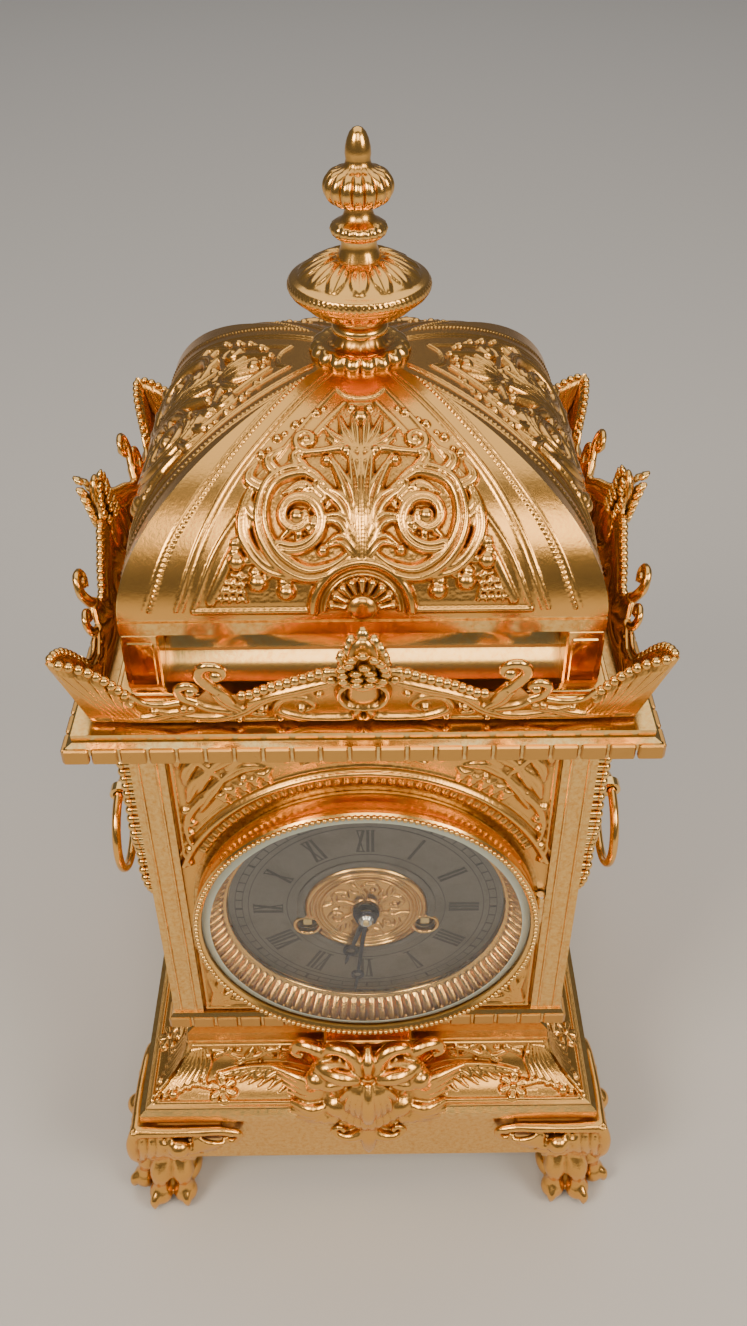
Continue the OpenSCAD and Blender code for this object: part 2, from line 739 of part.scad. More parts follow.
// A spring barrel with its great wheel, its arbor and the winding square
module barrel(at) {
    color(brass) {
        gear(at, great_wheel_y - 2, 2, barrel_m, barrel_teeth, 0, crossed = false);
        rod(at, great_wheel_y, drum_back - great_wheel_y, 17);
    }
    color(steel) {
        rod(at, front_plate_y - plate_t - 1, 41, 2);
        translate([at[0] - 1.4, -67, dial_z + at[1] - 1.4]) cube([2.8, 10, 2.8]);
    }
}

module time_barrel() { barrel(time_barrel_at); }
module strike_barrel() { barrel(strike_barrel_at); }

module third_wheel() {
    color(brass) gear(third_at, -53, 1, third_m, third_teeth, 0);
    color(steel) {
        arbor(third_at, front_plate_y, back_plate_y, 0.8);
        gear(third_at, -51.6, 2.4, third_m, leaves, third_pinion_phase, crossed = false);
    }
}

module escape_wheel() {
    color(brass) translate([escape_at[0], -21, dial_z + escape_at[1]]) rotate([90, 0, 0]) linear_extrude(1.2)
        difference() {
            polygon([for (i = [0 : escape_teeth - 1]) each [
                escape_r * [cos(360 * i / escape_teeth), sin(360 * i / escape_teeth)],
                (escape_r - 1.5) * [cos(360 * (i + 0.3) / escape_teeth), sin(360 * (i + 0.3) / escape_teeth)]]]);
            difference() {
                circle(r = 5.6);
                circle(r = 2);
                for (i = [0 : 4]) rotate(72 * i) translate([0, -0.5]) square([7, 1]);
            }
        }
    color(steel) {
        arbor(escape_at, front_plate_y, back_plate_y, 0.8);
        gear(escape_at, -53.6, 1.9, third_m, leaves, escape_pinion_phase, crossed = false);
    }
}

// The anchor on its arbor, and the crutch that reaches down to the pendulum rod
module pallet_anchor() {
    color(steel) {
        translate([pallet_at[0], -20.6, dial_z + pallet_at[1]]) rotate([90, 0, 0]) linear_extrude(1.8) difference() {
            union() {
                circle(r = 2);
                for (m = [0, 1]) mirror([m, 0])
                    polygon([[0, 1.4], [3.5, 0.8], [7.6, -3.6], [7.4, -6.2], [6.2, -5.4], [5.6, -3], [2.6, -0.8], [0, -1.2]]);
            }
            translate([0, escape_at[1] - pallet_at[1]]) circle(r = escape_r + 1);
        }
        rod(pallet_at, front_plate_y + 0.3, -front_plate_y - 13.3, 1);
        rod(pallet_at, front_plate_y - 1.8, 6, 0.5);
        translate([-0.9, -14.6, dial_z + pallet_at[1] - 22]) cube([1.8, 1.2, 22]);
        for (s = [-1, 1]) translate([s * 1.5 - 0.4, -14.6, dial_z + pallet_at[1] - 23.6]) cube([0.8, 6.6, 1.6]);
        translate([-1.9, -14.6, dial_z + pallet_at[1] - 23.6]) cube([3.8, 1.2, 1.7]);
    }
}

// Suspension spring, rod, bob and rating nut, hung level with the anchor's arbor
module pendulum() {
    pivot_z = dial_z + pallet_at[1];
    rod_y = -9.5;
    color(steel) {
        translate([-2.2, rod_y - 0.1, pivot_z - 8]) cube([4.4, 0.2, 10]);
        translate([-2.6, rod_y - 0.9, pivot_z - 11]) cube([5.2, 1.8, 3.4]);
        translate([0, rod_y, 66]) cylinder(h = pivot_z - 76, r = 0.9);
    }
    color(brass) {
        translate([0, rod_y, 80]) rotate([90, 0, 0]) rotate_extrude($fn = 96)
            polygon([[0, -3.2], [13, -3.2], [15.5, -1], [15.5, 1], [13, 3.2], [0, 3.2]]);
        translate([0, rod_y, 60.5]) cylinder(h = 3, r = 3.4);
        translate([0, rod_y, 63]) cylinder(h = 4, r = 1.2);
    }
}

// The cock on the back plate that holds the top of the suspension spring
module suspension_cock() {
    top = dial_z + pallet_at[1];
    color(brass) difference() {
        union() {
            translate([-8, back_plate_y + plate_t + gap, top + 1.2]) cube([16, 2.4, 9]);
            translate([-5, back_plate_y + plate_t + gap, top + 2.2]) cube([10, 11, 4.6]);
        }
        translate([-2.6, -9.85, top - 1]) cube([5.2, 0.7, 5]);
    }
}

// ---------- strike train, hammer and bell ----------

module pin_wheel() {
    color(brass) gear(pin_wheel_at, -48.8, 1.2, third_m, pin_teeth, 0);
    color(steel) {
        arbor(pin_wheel_at, front_plate_y, back_plate_y, 0.8);
        gear(pin_wheel_at, -47, 4, barrel_m, leaves, pin_pinion_phase, crossed = false);
        for (i = [0 : 9]) rod(pin_wheel_at + 7.6 * [cos(36 * i), sin(36 * i)], -47.7, 1.3, 0.4);
    }
}

module fly() {
    color(steel) {
        arbor(fly_at, front_plate_y, back_plate_y, 0.8);
        gear(fly_at, -49.6, 2.4, third_m, leaves, fly_pinion_phase, crossed = false);
    }
    color(brass) translate([fly_at[0] - 5.5, -38, dial_z + fly_at[1] - 0.3]) cube([11, 11, 0.6]);
}

// The hammer: its arm stands behind the back plate beside the bell, its tail points at the pin wheel
module hammer() {
    arm = [-4.2, 21];
    color(steel) {
        rod(hammer_at, front_plate_y + 0.3, -front_plate_y + 23, 1);
        rod(hammer_at, front_plate_y - 1.8, 6, 0.5);
        translate([hammer_at[0], 22, dial_z + hammer_at[1]]) rotate([90, 0, 0]) linear_extrude(1.6)
            rotate(angle_to([0, 0], arm)) translate([0, -0.8]) square([norm(arm), 1.6]);
        translate([hammer_at[0], -46.4, dial_z + hammer_at[1]]) rotate([90, 0, 0]) linear_extrude(0.8)
            rotate(9) translate([0, -0.6]) square([11.2, 1.2]);
    }
    color(brass) rod(hammer_at + arm, 18, 6.4, 3.6);
}

module bell() {
    color("silver") translate([bell_at[0], 36, dial_z + bell_at[1]]) rotate([90, 0, 0]) difference() {
        rotate_extrude($fn = 96) polygon(concat([[2.1, 0], [8, 0]], arc([8, 17], 17, -90, -8, 8),
            [[27, 17.5], [25.4, 17.5]], arc([8, 17], 15.2, -8, -90, 8), [[2.1, 1.8]]));
    }
}

module bell_stand() {
    post = [16, -34];
    reach = bell_at - post;
    color(steel) {
        rod(post, back_plate_y + plate_t + gap, 42.9 - back_plate_y - plate_t, 1.6);
        translate([post[0], 42.9, dial_z + post[1]]) rotate([90, 0, 0]) linear_extrude(3.4)
            rotate(angle_to(post, bell_at)) translate([0, -1.6]) square([norm(reach), 3.2]);
        rod(bell_at, 30.5, 12.4, 2);
        rod(bell_at, 36 + gap, 3.4, 3.6);
        rod(bell_at, 32.4, 1.7, 3.6);
    }
}

// ---------- rear door ----------

// The domed brass door over the back of the movement, with its knuckle and knob
module rear_door() {
    color(gilt) {
        difference() {
            union() {
                turned_y([[0, rear_y + 4.2], [38, rear_y + 4.2], [40, rear_y + 1], [46.5, rear_y + 0.4],
                    [49, rear_y + 0.4], [49, rear_y + 3], [41.4, rear_y + 3.4], [39.4, rear_y + 5.4], [0, rear_y + 5.4]]);
                knuckle(rear_hinge_at, dial_z - 1.9, 3.8)
                    translate([47, rear_hinge_at[1] - 1.4, dial_z - 1.9]) cube([4, 1.4, 3.8]);
                rod([-43.8, 0], rear_y + 3, 5, 1.6);
                rod([-43.8, 0], rear_y + 7, 2.4, 3.4);
            }
            translate([rear_hinge_at[0], rear_hinge_at[1], dial_z - 3]) cylinder(h = 6, r = pin_r + run);
            for (z = [dial_z - 6.3, dial_z + 1.95])
                translate([rear_hinge_at[0], rear_hinge_at[1], z]) cylinder(h = 4.35, r = knuckle_r + 0.4);
        }
    }
}

base_plinth();
foot_front_left();
foot_front_right();
foot_rear_left();
foot_rear_right();
foot_bolts();
plinth_mask();
front_panel();
left_panel();
right_panel();
rear_panel();
corner_pilasters();
cornice();
gallery_front();
gallery_rear();
gallery_left();
gallery_right();
dome_collar();
dome_shell();
finial_base();
finial_urn();
finial_knop();
finial_rod();
handle_boss_left();
handle_boss_right();
ring_handle_left();
ring_handle_right();
casing_ring();
bezel_ring();
bezel_glass();
sight_ring();
hinge_pins();
dial_plate();
chapter_ring();
dial_centre();
hour_hand();
minute_hand();
hand_collet();
front_plate();
back_plate();
plate_pillars();
movement_straps();
centre_arbor();
cannon_pinion();
hour_wheel();
minute_wheel();
intermediate_wheel();
time_barrel();
third_wheel();
escape_wheel();
pallet_anchor();
pendulum();
suspension_cock();
strike_barrel();
pin_wheel();
fly();
hammer();
bell();
bell_stand();
rear_door();
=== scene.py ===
import bpy
import json
import math
import numpy as np
from mathutils import Matrix, Vector

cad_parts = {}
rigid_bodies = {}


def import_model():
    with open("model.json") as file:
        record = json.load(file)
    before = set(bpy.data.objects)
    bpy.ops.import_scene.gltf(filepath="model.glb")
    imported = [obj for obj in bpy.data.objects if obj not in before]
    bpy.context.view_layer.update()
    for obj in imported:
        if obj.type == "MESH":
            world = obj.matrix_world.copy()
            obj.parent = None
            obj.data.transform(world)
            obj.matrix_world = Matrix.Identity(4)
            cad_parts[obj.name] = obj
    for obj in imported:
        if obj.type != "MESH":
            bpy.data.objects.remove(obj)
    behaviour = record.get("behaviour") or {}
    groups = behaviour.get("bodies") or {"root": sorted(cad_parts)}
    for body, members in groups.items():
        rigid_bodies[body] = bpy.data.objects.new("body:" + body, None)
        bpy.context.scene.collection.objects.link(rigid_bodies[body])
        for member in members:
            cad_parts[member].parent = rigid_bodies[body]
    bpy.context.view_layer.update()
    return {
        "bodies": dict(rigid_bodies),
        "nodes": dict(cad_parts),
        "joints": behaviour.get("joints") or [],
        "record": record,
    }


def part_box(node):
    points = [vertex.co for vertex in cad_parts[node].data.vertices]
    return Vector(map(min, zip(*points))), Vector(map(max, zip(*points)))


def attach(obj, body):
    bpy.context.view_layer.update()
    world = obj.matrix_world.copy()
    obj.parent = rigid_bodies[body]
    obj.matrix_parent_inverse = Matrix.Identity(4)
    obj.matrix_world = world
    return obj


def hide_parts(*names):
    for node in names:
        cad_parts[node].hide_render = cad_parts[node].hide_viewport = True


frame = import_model()
nodes = frame["nodes"]
mm = 0.001
rng = np.random.default_rng(11)
print("frame loaded:", len(nodes), "nodes")

# where the metal case stands, in millimetres
case = {
    "dialZ": 154.0, "bodyHalf": 69.5, "panelY": 68.0, "handleZ": 139.5,
    "domeHalf": 66.0, "domeFoot": 272.0, "domeRise": 47.0, "domePower": 1.95,
    "galleryBase": 74.5, "galleryLean": 7.0, "galleryHigh": 26.5,
}
sides = ("front", "right", "rear", "left")   # in the order of quarter turns


def newGroup(name, inputs, outputs):
    group = bpy.data.node_groups.new(name, "ShaderNodeTree")
    for label, kind, value in inputs:
        socket = group.interface.new_socket(name=label, in_out="INPUT", socket_type=kind)
        socket.default_value = value
    for label, kind in outputs:
        group.interface.new_socket(name=label, in_out="OUTPUT", socket_type=kind)
    return group, group.nodes.new("NodeGroupInput"), group.nodes.new("NodeGroupOutput")


def addNode(tree, kind, links=None, **values):
    node = tree.nodes.new(kind)
    for key, value in values.items():
        setattr(node, key, value)
    for socket, source in (links or {}).items():
        if hasattr(source, "is_output"):
            tree.links.new(source, node.inputs[socket])
        else:
            node.inputs[socket].default_value = source
    return node


def mathNode(tree, operation, a, b, clamp=False):
    node = addNode(tree, "ShaderNodeMath", {0: a, 1: b}, operation=operation)
    node.use_clamp = clamp
    return node.outputs[0]


def rangeNode(tree, value, low, high, toLow=0.0, toHigh=1.0):
    return addNode(tree, "ShaderNodeMapRange", {0: value, 1: low, 2: high, 3: toLow, 4: toHigh}).outputs[0]


def mixColours(tree, factor, a, b):
    node = addNode(tree, "ShaderNodeMix", {0: factor, 6: a, 7: b}, data_type="RGBA")
    return node.outputs[2]


def noiseNode(tree, coords, scale, detail, rough=0.55):
    return addNode(tree, "ShaderNodeTexNoise", {"Vector": coords, "Scale": scale, "Detail": detail,
                                                "Roughness": rough}).outputs["Fac"]


def buildGildingGroup():
    # colour, roughness and fine height of mercury gilding: painted shade in hollows and pits, random tarnish
    # patches, pale where it has rubbed
    group, inp, out = newGroup("GildingWearAndShade", [
        ("Gilt", "NodeSocketColor", (0.80, 0.46, 0.13, 1)),
        ("ShadeAndTarnishColour", "NodeSocketColor", (0.20, 0.06, 0.012, 1)),
        ("Rubbed", "NodeSocketColor", (0.98, 0.72, 0.34, 1)), ("Roughness", "NodeSocketFloat", 0.24),
        ("ShadeAndTarnish", "NodeSocketFloat", 0.35), ("Grain", "NodeSocketFloat", 0.5)],
        [("Colour", "NodeSocketColor"), ("Roughness", "NodeSocketFloat"), ("Height", "NodeSocketFloat")])
    coords = addNode(group, "ShaderNodeTexCoord").outputs["Object"]
    # painted shade: ambient occlusion and low pointiness find the hollows and pits, which are darkened
    # towards the darkest colour
    occlusion = addNode(group, "ShaderNodeAmbientOcclusion", {"Distance": 0.004}, samples=6).outputs["AO"]
    hollow = rangeNode(group, occlusion, 0.22, 0.86, 1.0, 0.0)
    point = addNode(group, "ShaderNodeNewGeometry").outputs["Pointiness"]
    edge = rangeNode(group, point, 0.52, 0.60)
    pit = rangeNode(group, point, 0.49, 0.42)
    cloud = noiseNode(group, coords, 28.0, 3.0)
    fine = noiseNode(group, coords, 900.0, 3.0)
    speck = noiseNode(group, coords, 620.0, 2.0, 0.7)
    # painted shade in hollows and pits, plus random tarnish patches, darkens the gilt colour
    dark = mathNode(group, "MULTIPLY", mathNode(group, "MAXIMUM", hollow, pit), inp.outputs["ShadeAndTarnish"])
    patch = mathNode(group, "MULTIPLY", rangeNode(group, cloud, 0.45, 0.8), 0.10)
    shadeAndPatches = mathNode(group, "ADD", dark, mathNode(group, "MULTIPLY", patch, inp.outputs["ShadeAndTarnish"]), True)
    colour = mixColours(group, shadeAndPatches, inp.outputs["Gilt"], inp.outputs["ShadeAndTarnishColour"])
    rub = mathNode(group, "MULTIPLY", edge, rangeNode(group, speck, 0.3, 0.6), True)
    colour = mixColours(group, mathNode(group, "MULTIPLY", rub, 0.65), colour, inp.outputs["Rubbed"])
    rough = mathNode(group, "ADD", inp.outputs["Roughness"], mathNode(group, "MULTIPLY", shadeAndPatches, 0.30))
    rough = mathNode(group, "ADD", rough, mathNode(group, "MULTIPLY",
                                                   mathNode(group, "SUBTRACT", speck, 0.5), 0.07))
    rough = mathNode(group, "SUBTRACT", rough, mathNode(group, "MULTIPLY", rub, 0.10), True)
    height = mathNode(group, "ADD", mathNode(group, "MULTIPLY", fine, inp.outputs["Grain"]),
                      mathNode(group, "MULTIPLY", speck, 0.12))
    group.links.new(colour, out.inputs["Colour"])
    group.links.new(rough, out.inputs["Roughness"])
    group.links.new(height, out.inputs["Height"])
    return group


def buildTurnedGroup():
    # fine lathe or grain lines that run round an axis or along a direction, with small handling marks
    group, inp, out = newGroup("GrainedMetal", [
        ("Base", "NodeSocketColor", (0.7, 0.7, 0.7, 1)), ("Shade", "NodeSocketColor", (0.3, 0.3, 0.3, 1)),
        ("Stretch", "NodeSocketVector", (40.0, 900.0, 40.0)), ("Roughness", "NodeSocketFloat", 0.3),
        ("Marks", "NodeSocketFloat", 0.3)],
        [("Colour", "NodeSocketColor"), ("Roughness", "NodeSocketFloat"), ("Height", "NodeSocketFloat")])
    coords = addNode(group, "ShaderNodeTexCoord").outputs["Object"]
    scaled = addNode(group, "ShaderNodeVectorMath", {0: coords, 1: inp.outputs["Stretch"]},
                     operation="MULTIPLY").outputs[0]
    lines = noiseNode(group, scaled, 1.0, 3.0)
    cloud = noiseNode(group, coords, 60.0, 4.0)
    marks = mathNode(group, "MULTIPLY", rangeNode(group, cloud, 0.5, 0.75), inp.outputs["Marks"])
    shade = mathNode(group, "ADD", mathNode(group, "MULTIPLY", lines, 0.25), marks, True)
    colour = mixColours(group, shade, inp.outputs["Base"], inp.outputs["Shade"])
    rough = mathNode(group, "ADD", inp.outputs["Roughness"],
                     mathNode(group, "MULTIPLY", mathNode(group, "SUBTRACT", lines, 0.4), 0.2), True)
    group.links.new(colour, out.inputs["Colour"])
    group.links.new(rough, out.inputs["Roughness"])
    group.links.new(lines, out.inputs["Height"])
    return group


gildingWearAndShade = buildGildingGroup()
grainedMetal = buildTurnedGroup()


def metalFrom(name, group, bump, metallic=1.0, **inputs):
    # inputs are the group's own sockets
    material = bpy.data.materials.new(name)
    material.use_nodes = True
    tree = material.node_tree
    shader = tree.nodes["Principled BSDF"]
    effect = addNode(tree, "ShaderNodeGroup")
    effect.node_tree = group
    for key, value in inputs.items():
        effect.inputs[key].default_value = value
    shader.inputs["Metallic"].default_value = metallic
    tree.links.new(effect.outputs["Colour"], shader.inputs["Base Color"])
    tree.links.new(effect.outputs["Roughness"], shader.inputs["Roughness"])
    height = {"Strength": bump, "Distance": 0.0003, "Height": effect.outputs["Height"]}
    lift = addNode(tree, "ShaderNodeBump", height)
    tree.links.new(lift.outputs["Normal"], shader.inputs["Normal"])
    return material


# the darkest colour and its amount set both the painted shade in hollows and the random tarnish patches
giltTones = {
    "cast": dict(Gilt=(0.86, 0.45, 0.115, 1), ShadeAndTarnishColour=(0.11, 0.026, 0.005, 1), Rubbed=(1.0, 0.72, 0.27, 1),
                 Roughness=0.23, ShadeAndTarnish=0.9, Grain=0.4),
    "burnished": dict(Gilt=(0.90, 0.49, 0.13, 1), ShadeAndTarnishColour=(0.16, 0.04, 0.006, 1), Rubbed=(1.0, 0.74, 0.30, 1),
                      Roughness=0.19, ShadeAndTarnish=0.75, Grain=0.2),
    "satin": dict(Gilt=(0.80, 0.39, 0.09, 1), ShadeAndTarnishColour=(0.13, 0.03, 0.005, 1), Rubbed=(1.0, 0.70, 0.26, 1),
                  Roughness=0.27, ShadeAndTarnish=0.8, Grain=0.3),
}
giltCast = metalFrom("gilt_cast_relief", gildingWearAndShade, 0.35, **giltTones["cast"])
giltBurnished = metalFrom("gilt_burnished", gildingWearAndShade, 0.12, **giltTones["burnished"])
giltSatin = metalFrom("gilt_satin", gildingWearAndShade, 0.1, **giltTones["satin"])
movementBrass = metalFrom("movement_brass", grainedMetal, 0.15, Base=(0.83, 0.60, 0.26, 1),
                          Shade=(0.50, 0.32, 0.11, 1), Roughness=0.27, Marks=0.25)
polishedSteel = metalFrom("polished_steel", grainedMetal, 0.15, Base=(0.62, 0.62, 0.63, 1),
                          Shade=(0.28, 0.27, 0.26, 1), Roughness=0.22, Marks=0.3)
bluedSteel = metalFrom("blued_steel", grainedMetal, 0.1, Base=(0.022, 0.026, 0.055, 1),
                       Shade=(0.01, 0.01, 0.02, 1), Roughness=0.2, Marks=0.3)
bellMetal = metalFrom("bell_metal", grainedMetal, 0.1, Base=(0.72, 0.68, 0.58, 1),
                      Shade=(0.42, 0.36, 0.25, 1), Stretch=(60, 1400, 60), Roughness=0.2, Marks=0.25)
# painted shade: the silvered dial is given a dark grey-brown colour that stands in for the shade it sits in
shadedSilvering = metalFrom("dial_silvering_painted_shade", grainedMetal, 0.2, Base=(0.21, 0.19, 0.18, 1),
                      Shade=(0.10, 0.082, 0.07, 1), Stretch=(700, 700, 700), Roughness=0.42, Marks=0.5)
blackWax = metalFrom("black_wax", grainedMetal, 0.1, metallic=0.0, Base=(0.012, 0.011, 0.011, 1),
                     Shade=(0.03, 0.026, 0.022, 1), Stretch=(500, 500, 500), Roughness=0.35, Marks=0.4)


def makeGlass(name, tint, rough, through):
    material = bpy.data.materials.new(name)
    material.use_nodes = True
    tree = material.node_tree
    shader = tree.nodes["Principled BSDF"]
    shader.inputs["Base Color"].default_value = tint
    shader.inputs["Roughness"].default_value = rough
    shader.inputs["IOR"].default_value = 1.5
    shader.inputs["Transmission Weight"].default_value = through
    return material


glassClear = makeGlass("bevelled_glass", (0.95, 0.98, 0.96, 1), 0.02, 1.0)
# painted reflection: the bevel is tinted pale and only partly clear so that it shows as a bright ring
bevelSheenGlass = makeGlass("bevel_painted_sheen", (0.70, 0.77, 0.68, 1), 0.16, 0.45)
print("materials made")


def addMesh(name, points, faces, material, body="case", slot="gilt_brass", smooth=True, creases=55,
            replaces=()):
    # points in millimetres; faces is a list of arrays of equal-length index rows; creases in degrees
    points = np.asarray(points, float).reshape(-1, 3) * mm
    mesh = bpy.data.meshes.new(name)
    faces = outward(points, [np.asarray(f, np.int32) for f in faces if len(f)])
    loops = np.concatenate([f.ravel() for f in faces])
    totals = np.concatenate([np.full(len(f), f.shape[1], np.int32) for f in faces])
    starts = np.concatenate([[0], np.cumsum(totals)[:-1]]).astype(np.int32)
    mesh.vertices.add(len(points))
    mesh.vertices.foreach_set("co", points.astype(np.float32).ravel())
    mesh.loops.add(len(loops))
    mesh.loops.foreach_set("vertex_index", loops)
    mesh.polygons.add(len(totals))
    mesh.polygons.foreach_set("loop_start", starts)
    mesh.polygons.foreach_set("loop_total", totals)
    mesh.update(calc_edges=True)
    mesh.validate()
    mesh.polygons.foreach_set("use_smooth", np.full(len(mesh.polygons), smooth))
    if smooth:
        mesh.set_sharp_from_angle(angle=math.radians(creases))
    piece = bpy.data.objects.new(name, mesh)
    bpy.context.scene.collection.objects.link(piece)
    mesh.materials.append(material)
    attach(piece, body)
    if replaces:
        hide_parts(*replaces)
    return piece


def outward(points, faces):
    # turns a closed solid's faces round when they look inwards
    volume = 0.0
    for f in faces:
        for k in range(2, f.shape[1]):
            a, b, c = points[f[:, 0]], points[f[:, k - 1]], points[f[:, k]]
            volume += np.einsum("ij,ij->", a - points[0], np.cross(b - points[0], c - points[0]))
    return [f[:, ::-1] for f in faces] if volume < 0 else faces


class Heap:
    # gathers many small solids, in millimetres, into one mesh
    def __init__(self):
        self.points, self.faces, self.count = [], {3: [], 4: []}, 0

    def add(self, points, faces):
        points = np.asarray(points, float).reshape(-1, 3)
        for f in outward(points, [np.asarray(f) for f in faces if len(f)]):
            self.faces[f.shape[1]].append(f + self.count)
        self.points.append(points)
        self.count += len(points)

    def addTurned(self, quarter, points, faces):
        self.add(np.asarray(points) @ turnAbout(quarter * 90).T, faces)

    def turned(self, quarter):
        other = Heap()
        turn = turnAbout(quarter * 90)
        other.points = [p @ turn.T for p in self.points]
        other.faces, other.count = self.faces, self.count
        return other

    def joined(self):
        return np.concatenate(self.points), [np.concatenate(f) for f in self.faces.values() if f]

    def piece(self, name, material, **kw):
        return addMesh(name, *self.joined(), material, **kw)


def towards(degrees):
    return np.array([math.cos(math.radians(degrees)), math.sin(math.radians(degrees))])


def turnAbout(degrees):
    c, s = math.cos(math.radians(degrees)), math.sin(math.radians(degrees))
    return np.array([[c, -s, 0], [s, c, 0], [0, 0, 1]])


def gridFaces(rows, cols, closedRows=False, closedCols=False, keep=None):
    # four-cornered faces over a grid of points that are numbered row by row
    r = np.arange(rows if closedRows else rows - 1)
    c = np.arange(cols if closedCols else cols - 1)
    rr, cc = np.meshgrid(r, c, indexing="ij")
    if keep is not None:
        rr, cc = rr[keep], cc[keep]
    rr, cc = rr.ravel(), cc.ravel()
    r2, c2 = (rr + 1) % rows, (cc + 1) % cols
    return np.stack([rr * cols + cc, rr * cols + c2, r2 * cols + c2, r2 * cols + cc], -1)


def thinned(face, cols, fixed, step):
    # merges the grid points of a plain back into blocks, apart from the fixed ones along its edges
    index = np.arange(len(fixed))
    block = (index // cols // step) * cols + index % cols // step
    free = np.zeros(len(fixed), bool)
    free[face.ravel()] = True
    free &= ~fixed
    first = np.full(block.max() + 1, len(fixed))
    np.minimum.at(first, block[free], index[free])
    face = np.where(free, first[block], index)[face]
    same = face == np.roll(face, -1, axis=1)
    crossed = (face[:, 0] == face[:, 2]) | (face[:, 1] == face[:, 3])
    quads = face[~same.any(1) & ~crossed]
    narrow = (same.sum(1) == 1) & ~crossed
    tris = face[narrow][~same[narrow]].reshape(-1, 3)
    return quads, tris


def slab(front, back, keep=None, step=4):
    # a closed plate between two grids of points; keep says which cells exist, step how coarse the back may be
    rows, cols = front.shape[:2]
    if keep is None:
        keep = np.ones((rows - 1, cols - 1), bool)
    size = rows * cols
    face = gridFaces(rows, cols, keep=keep)
    walls = []
    padded = np.pad(keep, 1)
    index = np.arange(size).reshape(rows, cols)
    # where the neighbour lies, then the corners of the edge shared with it
    for shift, a, b in (((0, -1), (0, 0), (1, 0)), ((0, 1), (1, 1), (0, 1)), ((-1, 0), (0, 1), (0, 0)),
                        ((1, 0), (1, 0), (1, 1))):
        beside = padded[1 + shift[0]:rows + shift[0], 1 + shift[1]:cols + shift[1]]
        i, j = np.nonzero(keep & ~beside)
        p, q = index[i + a[0], j + a[1]], index[i + b[0], j + b[1]]
        walls.append(np.stack([p, q, q + size, p + size], -1))
    walls = np.concatenate(walls)
    fixed = np.zeros(size, bool)
    fixed[walls[:, :2].ravel()] = True
    quads, tris = thinned(face, cols, fixed, step)
    faces = [np.concatenate([face, quads[:, ::-1] + size, walls]), tris[:, ::-1] + size]
    points = np.concatenate([front.reshape(-1, 3), back.reshape(-1, 3)])
    used = np.unique(np.concatenate([f.ravel() for f in faces]))
    remap = np.full(len(points), -1)
    remap[used] = np.arange(len(used))
    return points[used], [remap[f] for f in faces]


def sphereSolid(centre, radii, rings, parts):
    # a ball with its own radius along each axis
    a = np.linspace(0, math.pi, rings + 1)[1:-1]
    b = np.arange(parts) * 2 * math.pi / parts
    ring = np.stack([np.outer(np.sin(a), np.cos(b)), np.outer(np.sin(a), np.sin(b)),
                     np.repeat(np.cos(a)[:, None], parts, 1)], -1).reshape(-1, 3)
    points = np.concatenate([ring, [[0, 0, 1], [0, 0, -1]]]) * np.asarray(radii) + np.asarray(centre)
    quads = gridFaces(rings - 1, parts, closedCols=True)[:, ::-1]
    k = np.arange(parts)
    n = (rings - 1) * parts
    top = np.stack([np.full(parts, n), k, (k + 1) % parts], -1)
    last = (rings - 2) * parts
    low = np.stack([np.full(parts, n + 1), last + (k + 1) % parts, last + k], -1)
    return points, [quads, top, low]


def tubeSolid(path, radii, flat=1.0, side=None, parts=10):
    # a tapering rod along a path; flat squashes it along the direction side
    path, radii = np.asarray(path, float), np.asarray(radii, float)
    along = np.gradient(path, axis=0)
    along /= np.maximum(np.linalg.norm(along, axis=1, keepdims=True), 1e-9)
    if side is None:
        side = np.array([0.0, -1.0, 0.0])
    side = np.broadcast_to(np.asarray(side, float), path.shape)
    a = side - (side * along).sum(1, keepdims=True) * along
    a /= np.maximum(np.linalg.norm(a, axis=1, keepdims=True), 1e-9)
    b = np.cross(along, a)
    t = np.arange(parts) * 2 * math.pi / parts
    ring = (np.cos(t)[None, :, None] * a[:, None] * flat + np.sin(t)[None, :, None] * b[:, None])
    points = (path[:, None] + ring * radii[:, None, None]).reshape(-1, 3)
    n, count = len(path), len(path) * parts
    points = np.concatenate([points, path[:1], path[-1:]])
    quads = gridFaces(n, parts, closedCols=True)
    k = np.arange(parts)
    start = np.stack([np.full(parts, count), (k + 1) % parts, k], -1)
    end = np.stack([np.full(parts, count + 1), (n - 1) * parts + k, (n - 1) * parts + (k + 1) % parts], -1)
    return points, [quads[:, ::-1], start[:, ::-1], end[:, ::-1]]


def boxSolid(low, high, bevel):
    # a block with chamfered edges
    low, high = np.asarray(low, float), np.asarray(high, float)
    corners = np.array([[x, y, z] for x in (0, 1) for y in (0, 1) for z in (0, 1)])
    points = []
    for c in corners:
        base = low + (high - low) * c
        inward = np.where(c == 0, 1, -1) * bevel
        for axis in range(3):
            p = base + inward
            p[axis] = base[axis]
            points.append(p)
    at = {tuple(c): i * 3 for i, c in enumerate(corners)}
    quads, tris = [], []
    for axis in range(3):
        u, v = (axis + 1) % 3, (axis + 2) % 3
        for s in (0, 1):
            ring = []
            for a, b in ((0, 0), (1, 0), (1, 1), (0, 1)):
                c = [0, 0, 0]
                c[axis], c[u], c[v] = s, a, b
                ring.append(at[tuple(c)] + axis)
            quads.append(ring if s else ring[::-1])
        for a in (0, 1):
            for b in (0, 1):
                lo, hi = [0, 0, 0], [0, 0, 0]
                lo[u] = hi[u] = a
                lo[v] = hi[v] = b
                hi[axis] = 1
                i, j = at[tuple(lo)], at[tuple(hi)]
                edge = [i + u, j + u, j + v, i + v]
                quads.append(edge if (a + b) % 2 == 0 else edge[::-1])
    for c in corners:
        i = at[tuple(c)]
        tris.append([i, i + 1, i + 2] if sum(c) % 2 else [i, i + 2, i + 1])
    return points, [np.array(quads), np.array(tris)]


